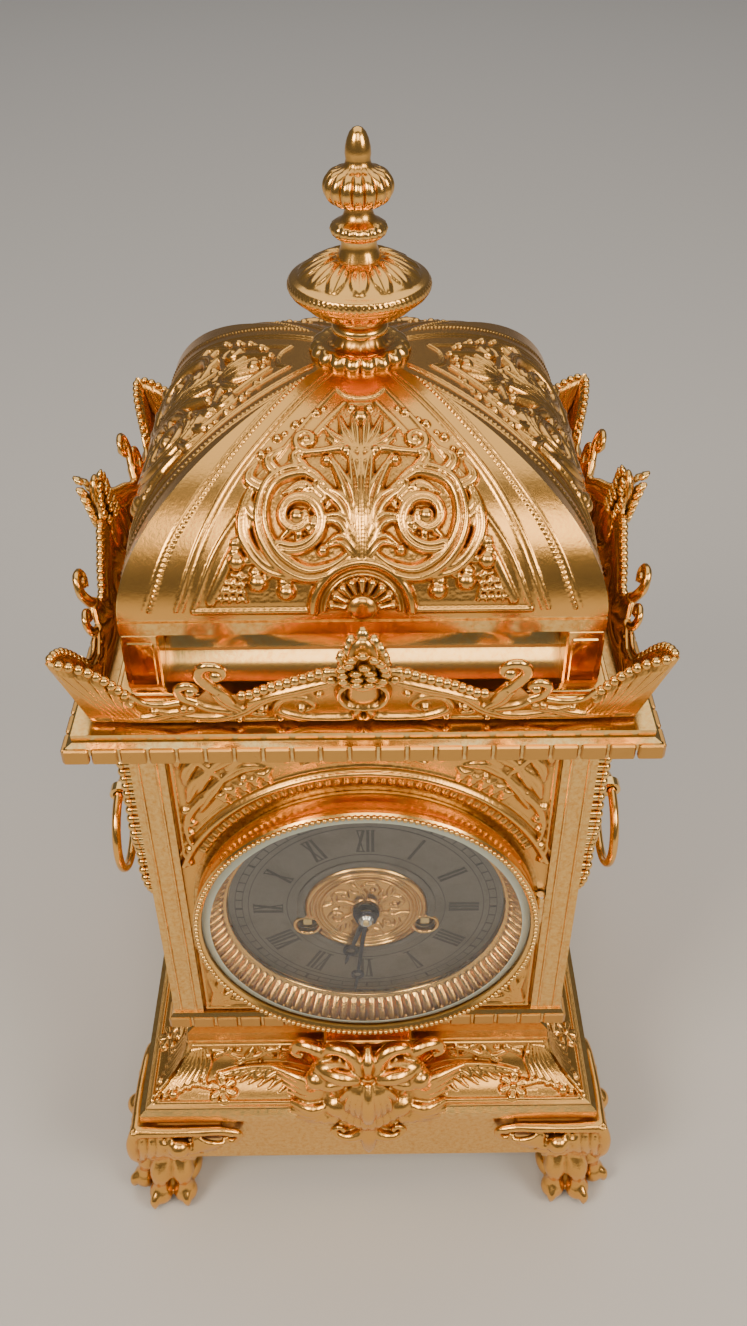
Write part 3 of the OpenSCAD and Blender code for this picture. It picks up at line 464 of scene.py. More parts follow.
def revolved(section, parts, ribs=None):
    # a turned solid about Z; section is a closed loop of [radius, height]; ribs changes both round the axis
    section = np.asarray(section, float)
    t = np.arange(parts) * 2 * math.pi / parts
    r = np.repeat(section[:, :1], parts, 1)
    z = np.repeat(section[:, 1:], parts, 1)
    if ribs is not None:
        r, z = ribs(r, z, t[None, :])
    points = np.stack([r * np.cos(t), r * np.sin(t), z], -1)
    return points.reshape(-1, 3), [gridFaces(len(section), parts, closedRows=True, closedCols=True)]


def facingDial(points):
    # turns a solid made about Z so that its axis is the dial's and +Z comes out of the dial
    points = np.asarray(points, float).reshape(-1, 3)
    return np.stack([points[:, 0], -points[:, 2], points[:, 1] + case["dialZ"]], -1)


def smoothCurve(points, count):
    # a smooth open curve through a few points
    points = np.asarray(points, float)
    t = np.concatenate([[0], np.cumsum(np.linalg.norm(np.diff(points, axis=0), axis=1))])
    if len(points) == 2:
        s = np.linspace(0, 1, count)[:, None]
        return points[0] * (1 - s) + points[1] * s
    m = np.gradient(points, t, axis=0)
    s = np.linspace(0, t[-1], count)
    k = np.clip(np.searchsorted(t, s, side="right") - 1, 0, len(points) - 2)
    h = (t[k + 1] - t[k])[:, None]
    x = ((s - t[k])[:, None]) / h
    return ((2 * x**3 - 3 * x**2 + 1) * points[k] + (x**3 - 2 * x**2 + x) * h * m[k]
            + (-2 * x**3 + 3 * x**2) * points[k + 1] + (x**3 - x**2) * h * m[k + 1])


def spiral(centre, outer, inner, start, turn, count):
    # from the outside in; angles in degrees, turn is signed
    s = np.linspace(0, 1, count)
    a = np.radians(start + turn * s)
    r = outer * (inner / outer) ** s
    return np.stack([centre[0] + r * np.cos(a), centre[1] + r * np.sin(a)], -1)


def spreadOver(values, count):
    # one value, or a list of them, as count values along a path
    return np.interp(np.linspace(0, 1, count), np.linspace(0, 1, np.size(values)), np.atleast_1d(values))


def evenly(points, pitch):
    # points at an even distance along a curve
    points = np.asarray(points, float)
    t = np.concatenate([[0], np.cumsum(np.linalg.norm(np.diff(points, axis=0), axis=1))])
    count = max(2, int(round(t[-1] / pitch)) + 1)
    s = np.linspace(0, t[-1], count)
    return np.stack([np.interp(s, t, points[:, k]) for k in range(points.shape[1])], -1)


def inside(u, v, outline):
    # which points of a sheet lie inside a closed outline
    outline = np.asarray(outline, float)
    hit = np.zeros(u.shape, bool)
    for a, b in zip(outline, np.roll(outline, -1, axis=0)):
        if a[1] != b[1]:
            cross = (a[1] > v) != (b[1] > v)
            hit ^= cross & (u < (b[0] - a[0]) * (v - a[1]) / (b[1] - a[1]) + a[0])
    return hit


class Relief:
    # a height field over any sheet of points (u, v) in millimetres
    def __init__(self, u, v):
        self.u, self.v = u, v
        self.h = np.zeros_like(u)

    def near(self, points, reach):
        lo, hi = points.min(0) - reach, points.max(0) + reach
        return np.nonzero((self.u > lo[0]) & (self.u < hi[0]) & (self.v > lo[1]) & (self.v < hi[1]))

    def stroke(self, points, wide, high, vein=0.0):
        # wide and high are values or lists along the stroke
        points = np.asarray(points, float)
        if np.linalg.norm(np.diff(points, axis=0), axis=1).max() > 0.6:
            points = evenly(points, 0.5)
        wide, high = spreadOver(wide, len(points)), spreadOver(high, len(points))
        at = self.near(points, wide.max())
        if not len(at[0]):
            return
        du = self.u[at][:, None] - points[:, 0]
        dv = self.v[at][:, None] - points[:, 1]
        d = np.sqrt(du * du + dv * dv) / np.maximum(wide, 0.05)
        level = np.sqrt(np.clip(1 - d * d, 0, 1)) * high
        if vein:
            level = level - np.exp(-(d / 0.22) ** 2) * (vein * high) * (d < 1)
        level = level.max(1) if not vein else level[np.arange(len(level)), d.argmin(1)]
        self.h[at] = np.maximum(self.h[at], level)

    def curl(self, points, count, *args, **kw):
        self.stroke(smoothCurve(points, count), *args, **kw)

    def bead(self, centre, radius, high):
        self.stroke([centre, centre], radius, high)

    def beads(self, points, pitch, radius, high):
        for p in evenly(points, pitch):
            self.bead(p, radius, high)

    def mirrored(self):
        self.h = np.maximum(self.h, self.h[:, ::-1])

    def matted(self, deep, where):
        # punched ground between the raised work
        flat = np.clip(1 - self.h / 0.25, 0, 1) * where
        self.h = self.h + flat * rng.uniform(-1, 0, self.h.shape) * deep


dome = {"skin": 0.4, "rows": 240, "cols": 340, "crownHalf": 9.0, "sunk": 0.4, "ground": 0.16}


def domeSheet(out):
    # one face of the dome, lifted off the plain metal by out; also the distance up its curve from the foot
    rise, power = case["domeRise"], case["domePower"]
    h = rise * np.sin(np.linspace(0, math.pi / 2, 1500))
    half = case["domeHalf"] * np.maximum(0, 1 - (h / rise)**power)**(1 / power)
    arc = np.concatenate([[0], np.cumsum(np.hypot(np.diff(h), np.diff(half)))])
    s = np.linspace(0.0, np.interp(-dome["crownHalf"], -half, arc), dome["rows"])
    z = np.interp(s, arc, h)
    y = np.interp(s, arc, half)
    outY, outZ = np.gradient(z, s), -np.gradient(y, s)
    size = np.hypot(outY, outZ)
    outY, outZ = outY / size, outZ / size
    wide = (y + out * outY)[:, None]
    x = np.linspace(-1, 1, dome["cols"])[None, :] * wide
    points = np.stack([x, -wide + 0 * x, (case["domeFoot"] + z + out * outZ)[:, None] + 0 * x], -1)
    normal = np.stack([0 * x, -outY[:, None] + 0 * x, outZ[:, None] + 0 * x], -1)
    return points, normal, x, s[:, None] + 0 * x


def domeOrnament(u, v):
    # u across, v up the face from its foot; the right half is drawn and mirrored, as on every panel
    r = Relief(u, v)
    frame = smoothCurve([(45.4, 3), (39.4, 18), (28.2, 35.4), (6.7, 68.5)], 90)
    ridge = smoothCurve([(40.5, 5.6), (34.4, 18.5), (23.6, 35.6), (4.5, 62.4)], 90)
    notch = smoothCurve([(6.7, 68.5), (3.6, 65.4), (0, 64.6)], 16)
    ground = inside(u, v, np.concatenate([ridge, ridge[::-1] * (-1, 1)]))
    r.h = np.where(ground, -0.25, r.h)
    r.stroke(frame, 0.7, 0.6)
    r.stroke(notch, 0.7, 0.6)
    r.stroke([(0, 2.8), (45.4, 2.8)], 0.9, 0.9)
    r.stroke(ridge, [1.5, 1.3, 1.1], 1.0)
    for shift, wide, high in ((0.0, 0.55, 0.45), (-1.7, 0.45, 0.35)):
        line = smoothCurve([(50.2, 3), (44.2, 19.5), (36.5, 35.5), (24, 54.5), (9.8, 75)], 90)
        r.stroke(line + (shift, 0), wide, high)
    beading = smoothCurve([(57.4, 3), (49.6, 21.8), (41.2, 35.5), (29.5, 53), (13.5, 77)], 90)
    r.beads(beading, 1.5, 0.6, 0.5)
    r.stroke(beading + (1.5, 0.3), 0.35, 0.25)
    # half rosette on the foot
    ring = np.array([(13.2 * math.cos(a), 3 + 13.2 * math.sin(a)) for a in np.linspace(0, math.pi / 2, 30)])
    r.h = np.where(np.hypot(u, v - 3) < 13.2, 0.1, r.h)
    r.stroke(ring, 1.6, 2.1)
    r.stroke((ring - (0, 3)) * 0.76 + (0, 3), 0.6, 1.0)
    for k in range(5):
        petal = towards(90 - 20 * k)
        r.stroke([petal * 4.9 + (0, 3), petal * 8.2 + (0, 3)], [0.55, 1.25], [1.3, 1.7])
    r.bead((0, 3.0), 3.6, 1.3)
    # great C scroll, a broad leaf that turns over on itself
    r.curl([(2.4, 19.0), (6.5, 15.4), (14, 13.2), (22, 17.4), (26.6, 28.5), (23.6, 37.8), (15, 40.6),
            (9.6, 37.0)], 80, [1.4, 2.6, 3.0, 2.7, 2.3, 2.5, 1.2], [1.6, 2.4, 2.7, 2.5, 2.2, 2.2, 1.2],
           vein=0.42)
    r.curl([(16, 12.6), (25.6, 15.4), (31.2, 24), (30, 33.5), (26, 40.5)], 60, [2.0, 2.0, 1.9, 0.6],
           [1.9, 1.9, 1.6, 0.8], vein=0.3)
    r.stroke(spiral((17.0, 28.2), 8.8, 2.2, -60, -500, 90), [2.1, 1.9, 1.3], [2.3, 2.1, 2.0], vein=0.25)
    r.bead((17.0, 28.2), 2.3, 2.9)
    for a, b, c in (((21.5, 39.0), (24.5, 43.6), (20.8, 47.4)), ((15, 40.6), (17.4, 44.8), (13.0, 46.8)),
                    ((25.4, 35.5), (29.6, 38.6), (27.6, 43.0)), ((26.8, 27), (29.8, 31), (29.2, 35)),
                    ((11, 33), (15.5, 36.4), (20.6, 34.4)), ((10.4, 36.4), (7.6, 33.2), (9.4, 30.0))):
        r.curl([a, b, c], 20, [2.1, 1.9, 0.5], [1.9, 1.8, 0.8], vein=0.35)
    for degrees in (150, 188, 226, 264, 302):
        out = towards(degrees)
        r.stroke([out * 4.6 + (17, 28.2), out * 6.8 + (17.8, 28.2)], [1.2, 0.6], [1.5, 0.8])
    # acanthus that stands in the middle
    for tip, bend, wide in (((3.0, 47.5), (1.4, 34), 2.0), ((8.2, 44.6), (3.2, 34), 2.3),
                            ((12.6, 36.8), (5.4, 32), 2.5), ((11.8, 27.4), (6.2, 27.4), 2.3),
                            ((9.4, 20.6), (5.8, 22.2), 1.9)):
        r.curl([(1.0, 17.4), bend, tip], 34, [1.3, wide, wide, 0.7], [1.6, 2.6, 2.8, 1.2], vein=0.38)
        r.bead(np.array(tip) + (0.9, -1.2), 1.6, 2.1)
    r.stroke([(0, 17), (0, 30), (0, 44), (0, 50)], [1.8, 2.4, 1.7, 0.5], [2.0, 3.0, 2.3, 0.9], vein=0.25)
    # upper scrolls and the bud
    r.curl([(1.2, 43.5), (5, 47.0), (10, 46.4), (14.8, 45.8)], 30, [1.7, 1.4, 1.1], 1.6)
    r.stroke(spiral((14.6, 49.6), 3.6, 1.2, -90, 420, 50), [1.4, 1.0], 1.6)
    r.bead((14.6, 49.6), 1.6, 2.0)
    for tip, bend in (((10.0, 54.2), (6.0, 49.6)), ((5.6, 57.4), (3.8, 51)), ((9.0, 50.2), (5.6, 47.8)),
                      ((2.0, 59.0), (1.6, 53))):
        r.curl([(1.0, 46.5), bend, tip], 22, [1.1, 1.8, 0.5], [1.3, 1.9, 0.8], vein=0.35)
    r.bead((0, 57.6), 2.2, 2.2)
    r.bead((2.4, 60.6), 1.3, 1.3)
    # berries on stalks and the trellis in the corner
    for at, size in (((33.1, 16.6), 2.5), ((27.7, 11.0), 2.7), ((20.2, 8.4), 2.5)):
        stalk = smoothCurve([(17.5, 13.5), ((17.5 + at[0]) / 2, (13.5 + at[1]) / 2 + 1.6), at], 24)
        r.stroke(stalk, [1.5, 1.1], [1.4, 1.1], vein=0.2)
        r.bead(at, size, 2.6)
        r.bead((at[0] + 0.6, at[1] + 2.6), size * 0.62, 1.6)
    for k in range(4):
        r.stroke([(31.0 + k * 2.2, 5.8), (32.6 + k * 1.5, 13.5 - k * 1.9)], 0.6, 1.0)
        r.stroke([(31.4, 6.4 + k * 2.0), (39.0 - k * 1.5, 6.6 + k * 2.2)], 0.6, 1.0)
    for at in ((31.0, 27.0), (26.6, 45.6), (22.4, 50.6), (17.6, 55.0), (12.0, 59.0), (36.2, 9.0),
               (33.6, 21.4)):
        r.bead(at, 1.3, 1.3)
        r.bead((at[0] - 1.9, at[1] + 1.5), 0.8, 0.9)
    r.matted(dome["ground"], ground)
    r.mirrored()
    return r.h


def makeDome():
    front, normal, u, v = domeSheet(dome["skin"])
    back = domeSheet(-dome["sunk"])[0]
    heap = Heap()
    heap.add(*slab(front + normal * domeOrnament(u, v)[..., None], back))
    for quarter, side in enumerate(sides):
        heap.turned(quarter).piece("dome_casting_" + side, giltCast, creases=80)


makeDome()


def squareLoft(heap, section):
    # a moulding that runs round a square; section is a closed loop of [half width, height]
    section = np.asarray(section, float)
    corners = np.array([(-1, -1), (1, -1), (1, 1), (-1, 1)])
    rings = np.stack([np.concatenate([section[:, :1] * c, section[:, 1:]], axis=1) for c in corners], axis=1)
    heap.add(rings, [gridFaces(len(section), 4, closedRows=True, closedCols=True)])


def arcPoints(centre, radius, start, end, count):
    a = np.radians(np.linspace(start, end, count))
    return [[centre[0] + radius * math.cos(t), centre[1] + radius * math.sin(t)] for t in a]


def makeCollar():
    # hollow moulding between corner piers, which carries the dome
    heap = Heap()
    section = [[62, 243.6], [70.4, 243.6], [70.5, 243.7], [70.5, 246.3], [70.2, 246.6], [69.3, 246.8],
               [69.1, 247.5]]
    section += arcPoints((71, 264), 16.4, -98, -166, 28)
    section += [[55.6, 260.6], [56.0, 261.2], [56.0, 266.9], [52.6, 266.9], [52.6, 262], [62, 248]]
    squareLoft(heap, section)
    for quarter in range(4):
        heap.addTurned(quarter, *boxSolid([56.2, -66.4, 246.4], [66.4, -56.2, 266.9], 0.5))
        heap.addTurned(quarter, *boxSolid([57.6, -66.9, 249.4], [65.0, -66.2, 264.4], 0.35))
        heap.addTurned(quarter, *boxSolid([66.2, -65.0, 249.4], [66.9, -57.6, 264.4], 0.35))
    heap.piece("dome_collar_moulding", giltBurnished, creases=28, replaces=["dome_collar"])


makeCollar()
print("dome done")

finial = {"bore": 2.05, "collarRibs": 18, "knopRibs": 16, "leaves": 14}


def turnedPiece(name, section, ribs, replaces, parts=224):
    loop = [[finial["bore"], section[0][1]]] + list(section) + [[finial["bore"], section[-1][1]]]
    return addMesh(name, *revolved(loop, parts, ribs), giltBurnished, creases=50, replaces=replaces)


def gadroons(count, low, high, depth, sharp):
    # round lobes between two heights
    def change(r, z, t):
        fade = np.clip((z - low) / 1.2, 0, 1) * np.clip((high - z) / 1.2, 0, 1)
        lobe = np.abs(np.cos(count * t / 2))**sharp
        return r - depth * fade * (1 - lobe), z
    return change


def urnLeaves(r, z, t):
    # pointed leaves over the shoulder of the urn and a roped rim
    shoulder = np.clip((z - 341.4) / 1.0, 0, 1) * np.clip((347.6 - z) / 1.2, 0, 1)
    wave = np.abs(((t * finial["leaves"] / (2 * math.pi)) % 1) * 2 - 1)
    along = np.clip((r - 7.0) / 10.5, 0, 1)
    leaf = np.clip((np.sin(along * math.pi)**0.6 * 0.95 - wave) * 5, 0, 1) - 0.4 * np.exp(-(wave / 0.16)**2)
    low = np.clip((z - 331.2) / 1.0, 0, 1) * np.clip((335.2 - z) / 0.8, 0, 1)
    flute = np.abs(np.cos(t * 15))
    rope = np.clip((z - 336.9) / 0.4, 0, 1) * np.clip((340.4 - z) / 0.4, 0, 1)
    strand = np.abs(np.sin(t * 40 + (z - 338) * 1.1))
    return r - 0.6 * low * (1 - flute) - 0.35 * rope * strand, z + 0.75 * shoulder * leaf


def makeFinial():
    base = ([[12.4, 314.8], [13.2, 315.0]] + arcPoints((11.5, 319.0), 3.3, -62, 96, 16)
            + [[9.4, 321.7], [8.0, 322.2], [6.9, 323.6], [6.6, 324.8], [7.9, 325.2], [8.1, 326.2],
               [7.8, 327.2], [6.6, 328.0], [6.6, 328.9]])
    turnedPiece("finial_collar_ribbed", base, gadroons(finial["collarRibs"], 314.4, 322.6, 1.3, 0.7),
                ["finial_base"])
    urn = [[6.4, 329.0], [8.6, 329.6], [10.4, 330.4], [12.2, 331.1], [13.6, 331.9], [14.9, 332.8],
           [16.0, 333.8], [16.8, 334.9], [17.3, 335.4], [18.4, 335.9], [19.2, 336.6]]
    urn += arcPoints((18.0, 338.8), 2.3, -58, 64, 12)
    urn += [[17.9, 341.2], [17.2, 341.6]]
    urn += [[17.0 - 0.72 * k, 341.8 + 4.3 * math.sin(k / 15 * math.pi / 2)] for k in range(16)]
    urn += [[5.9, 347.0], [5.3, 348.4], [4.9, 349.8], [5.1, 351.4]]
    turnedPiece("finial_urn_leafed", urn, urnLeaves, ["finial_urn"], parts=336)
    knop = [[5.3, 351.5], [6.6, 352.0], [7.6, 352.9], [8.0, 354.0], [7.6, 355.1], [6.4, 355.9],
            [5.0, 356.5], [4.2, 357.6], [3.8, 359.0], [3.9, 360.4]]
    knop += arcPoints((5.0, 365.0), 4.6, -78, 84, 20)
    knop += [[4.3, 370.0], [3.5, 370.9], [3.3, 372.0], [3.5, 373.4], [3.35, 375.2], [2.9, 377.0],
             [2.2, 378.6], [1.3, 379.6], [0.5, 379.95]]

    def ribs(r, z, t):
        r, z = gadroons(finial["knopRibs"], 360.4, 370.2, 1.1, 0.7)(r, z, t)
        return gadroons(20, 352.2, 355.8, 0.7, 0.8)(r, z, t)

    solid = [[0.35, 351.5]] + knop + [[0.02, 380.0]]
    addMesh("finial_knop_gadrooned", *revolved(solid, 192, ribs), giltBurnished, creases=50,
            replaces=["finial_knop"])


makeFinial()
print("finial done")

gallery = {"cols": 520, "rows": 64, "thick": 1.5, "foot": 243.55, "rim": 1.2}
slopeLong = math.hypot(case["galleryLean"], case["galleryHigh"])
slopeOut, slopeUp = case["galleryLean"] / slopeLong, case["galleryHigh"] / slopeLong


def galleryPoint(x, h, n=0.0):
    # x along the panel, h up its slope, n out of it
    x, h, n = np.broadcast_arrays(np.asarray(x, float), h, n)
    y = -(case["galleryBase"] + gallery["rim"] + h * slopeOut + n * slopeUp)
    return np.stack([x, y, gallery["foot"] + h * slopeUp - n * slopeOut], -1)


def galleryTop(x):
    # height of the pierced edge, from the middle out to the corner
    points = [(0, 30.5), (3.2, 30), (5.6, 25), (7.5, 22.6), (11, 22.2), (16, 19.6), (24, 16.2), (32, 11.6),
              (35.5, 12.6), (38.5, 17), (42, 15.5), (45, 11.4), (49, 9.2), (54, 7.4), (60, 8.2), (64, 12.4),
              (68, 18.6), (72, 23.2), (76, 25.8), (83, 28.0)]
    xs, hs = np.array(points).T
    return np.interp(np.abs(x), xs, hs)


def galleryOrnament(u, v):
    # u across, v up the slope
    r = Relief(u, v)
    r.stroke([(0, 1.0), (78, 1.0)], 0.9, 0.9)
    r.curl([(3.5, 1.8), (10, 1.6), (18, 2.4), (24, 6.5), (21.5, 11.6), (15.6, 11.4), (13.6, 7.6),
            (16.6, 5.4)], 70, [1.8, 1.5, 1.2, 0.8], [1.9, 1.6, 1.4, 1.3], vein=0.25)
    r.bead((17.0, 7.2), 1.4, 2.0)
    r.curl([(7, 19.6), (16, 16.0), (26, 12.2), (33, 5.8), (41, 2.6), (50, 3.6), (58, 6.4)], 80,
           [1.2, 1.9, 1.6, 1.8, 1.4, 0.8], [1.4, 1.9, 1.8, 2.0, 1.6, 1.0], vein=0.28)
    r.curl([(26, 12.2), (31, 9.6), (30.5, 5.2), (26.8, 5.0), (26.6, 7.6)], 40, [1.4, 1.1, 0.6], 1.5)
    r.bead((28.2, 6.8), 1.3, 1.8)
    r.curl([(33, 5.8), (37, 9.4), (39.6, 14.6), (40.2, 18)], 40, [1.4, 1.9, 1.6], [1.4, 2.0, 1.8], vein=0.25)
    r.curl([(37, 6.0), (43, 7.6), (46.5, 11.0)], 30, [1.4, 1.5, 1.0], 1.6)
    r.curl([(47, 6.4), (53, 4.6), (60, 2.4), (68, 2.6)], 40, [1.2, 1.6, 0.9], [1.3, 1.5, 1.0], vein=0.25)
    for at, size in (((23, 2.4), 1.3), ((34.4, 2.0), 1.2), ((45.6, 2.2), 1.3), ((49.4, 7.0), 1.4),
                     ((57.6, 6.0), 1.3), ((63.6, 9.6), 1.5), ((12, 13.6), 1.2)):
        r.bead(at, size, 1.7)
    for k in range(6):
        a = math.radians(8 + 15 * k)
        at = (63.4 + 3.8 * k, 16.2 + 2.3 * k)
        bend = (64.5 + 2.2 * k - 0.8 * math.sin(a), 9.0 + k * 0.7)
        r.curl([(62.0 + 1.4 * k, 2.4), bend, at], 26, [0.8, 1.25, 1.5], [1.0, 1.4, 1.7], vein=0.22)
    # cartouche below the pine cone
    r.stroke([(0, 13.0), (0, 17.4)], [4.6, 4.2], [2.2, 2.0])
    r.curl([(0, 8.2), (4.6, 9.6), (6.6, 14), (5, 18.6), (1.8, 20.4)], 40, 1.1, 2.6)
    r.curl([(0, 1.6), (2.0, 4.4), (0.6, 7.6)], 24, [0.6, 1.6, 0.8], 2.0)
    r.mirrored()
    return r.h


def makeGallery():
    up = np.linspace(0, 1, gallery["rows"])[:, None]
    across = np.linspace(-1, 1, gallery["cols"])[None, :]
    x = across * case["galleryBase"]
    for _ in range(3):
        h = up * galleryTop(x)
        x = across * (case["galleryBase"] + gallery["rim"] + h * slopeOut)
    lift = galleryOrnament(x, h) * np.clip(up * 12, 0, 1) * np.clip((1 - up) * 9, 0.3, 1)
    rounding = gallery["thick"] * np.sqrt(np.clip(1 - np.clip((up - 0.9) / 0.1, 0, 1)**2, 0.1, 1))
    edge = np.clip((1 - np.abs(across)) * 40, 0, 1)
    front = galleryPoint(x, h, lift * edge)
    back = galleryPoint(x - np.sign(x) * (1 - edge) * 1.2, h, -rounding - lift * 0.35 * edge)
    heap = Heap()
    heap.add(*slab(front, back, step=1))

    def rod(path, radii):
        radii = spreadOver(radii, len(path))
        for side in (-1, 1):
            heap.add(*tubeSolid(galleryPoint(path[:, 0] * side, path[:, 1]), radii, 0.85))

    def ball(x, h, radius, n):
        for side in (-1, 1):
            heap.add(*sphereSolid(galleryPoint(x * side, h, n), [radius, radius * 0.95, radius], 7, 12))

    for p in evenly([(x, galleryTop(x) + 0.3) for x in np.linspace(9.5, 33.0, 60)], 2.35):
        ball(p[0], p[1], 1.55, -0.3)
    for p in evenly([(x, galleryTop(x) - 0.2) for x in np.linspace(63.0, 79.5, 40)], 2.6):
        ball(p[0], p[1], 1.45, -0.3)
    # tall and short hooked curls beside the slope, and small scrolls by the pine cone
    rod(smoothCurve([(35.6, 8), (38.2, 13.4), (41.8, 18.0), (43.6, 22.4), (41.6, 26.0), (38.2, 25.6),
                     (37.0, 22.6), (38.6, 20.6)], 48), [1.5, 1.8, 1.7, 1.4, 1.1])
    ball(38.9, 22.5, 1.9, 0.3)
    rod(smoothCurve([(41.6, 6), (45.4, 9.4), (49.4, 12.4), (49.8, 16.0), (47.0, 17.4), (45.2, 15.6),
                     (46.2, 13.9)], 40), [1.3, 1.5, 1.3, 1.0])
    ball(46.6, 15.2, 1.6, 0.3)
    rod(spiral((8.4, 20.6), 3.2, 1.2, 200, -400, 36), [1.3, 1.0])
    ball(8.4, 20.6, 1.5, 0.6)
    rod(smoothCurve([(50, 9.6), (55, 8.4), (60, 9.4), (63.4, 13.4)], 24), [1.1, 0.9])
    # pine cone in staggered rows of scales
    for row, (wide, count) in enumerate(((5.2, 4), (6.1, 4), (5.6, 4), (4.6, 3), (3.0, 2), (0.0, 1))):
        h, stagger = 22.0 + row * 2.6, 0.22 * (row % 2)
        for k in range(count):
            x = 0 if count == 1 else -wide + 2 * wide * (k + stagger) / (count - 1 + stagger)
            n = 1.2 + 2.6 * math.cos(x / 6.8 * math.pi / 2)
            for face in (1, -1):
                root = galleryPoint(x * 0.9, h - 1.4, face * n * 0.7)
                tip = galleryPoint(x * 1.06, h + 1.5, face * (n + 0.9))
                heap.add(*tubeSolid([root, (root + tip) / 2, tip], [1.3, 1.9, 0.6], 0.6))
    heap.add(*sphereSolid(galleryPoint(0, 28.5, 0), [4.2, 2.2, 7.2], 12, 18))
    heap.add(*tubeSolid(galleryPoint(np.array([-5.6, 0, 5.6]), np.array([20.4, 19.0, 20.4]), 1.6),
                        [1.1, 1.7, 1.1]))
    for quarter, side in enumerate(sides):
        heap.turned(quarter).piece("gallery_casting_" + side, giltCast, creases=70,
                                   replaces=["gallery_" + side])


makeGallery()
print("gallery done")

dentils = {"groove": 0.9, "cornice": {"out": 84.0, "low": 234.9, "high": 240.1, "step": 8.0},
           "plinth": {"out": 71.7, "low": 90.3, "high": 95.6, "step": 8.4}}


def dentilRow(out, low, high, step, into):
    # blocks along the front, from corner to corner
    heap = Heap()
    count = int(round(2 * out / step))
    wide = 2 * out / count
    for k in range(count):
        x = -out + wide * k
        left, right = x + dentils["groove"] / 2, x + wide - dentils["groove"] / 2
        heap.add(*boxSolid([left, -out, low], [right, -out + into, high], 0.45))
    return heap


def makeDentils():
    for name in ("cornice", "plinth"):
        whole = Heap()
        for quarter in range(4):
            # every other side a hair deeper, so that the corner blocks don't share a face
            row = dentilRow(into=2.4 if quarter % 2 else 2.41, **dentils[name])
            whole.addTurned(quarter, *row.joined())
        whole.piece(name + "_dentils", giltBurnished, smooth=False)


makeDentils()
print("dentils done")

panel = {"half": 58.9, "low": 97.2, "high": 231.8, "cell": 0.42, "skin": 0.35, "sunk": 0.3, "hole": 56.8,
         "doorHole": 50.5, "archR": 61.6}


def leafSpray(r, root, tips, wide, high=1.5):
    # pointed leaves that part from one root; each is its tip and the point it bends through
    for tip, bend in tips:
        widths = [wide * 0.5, wide * 0.8, wide * 0.7, wide * 0.2]
        r.curl([root, bend, tip], 26, widths, [high * 0.8, high, high, high * 0.4], vein=0.3)


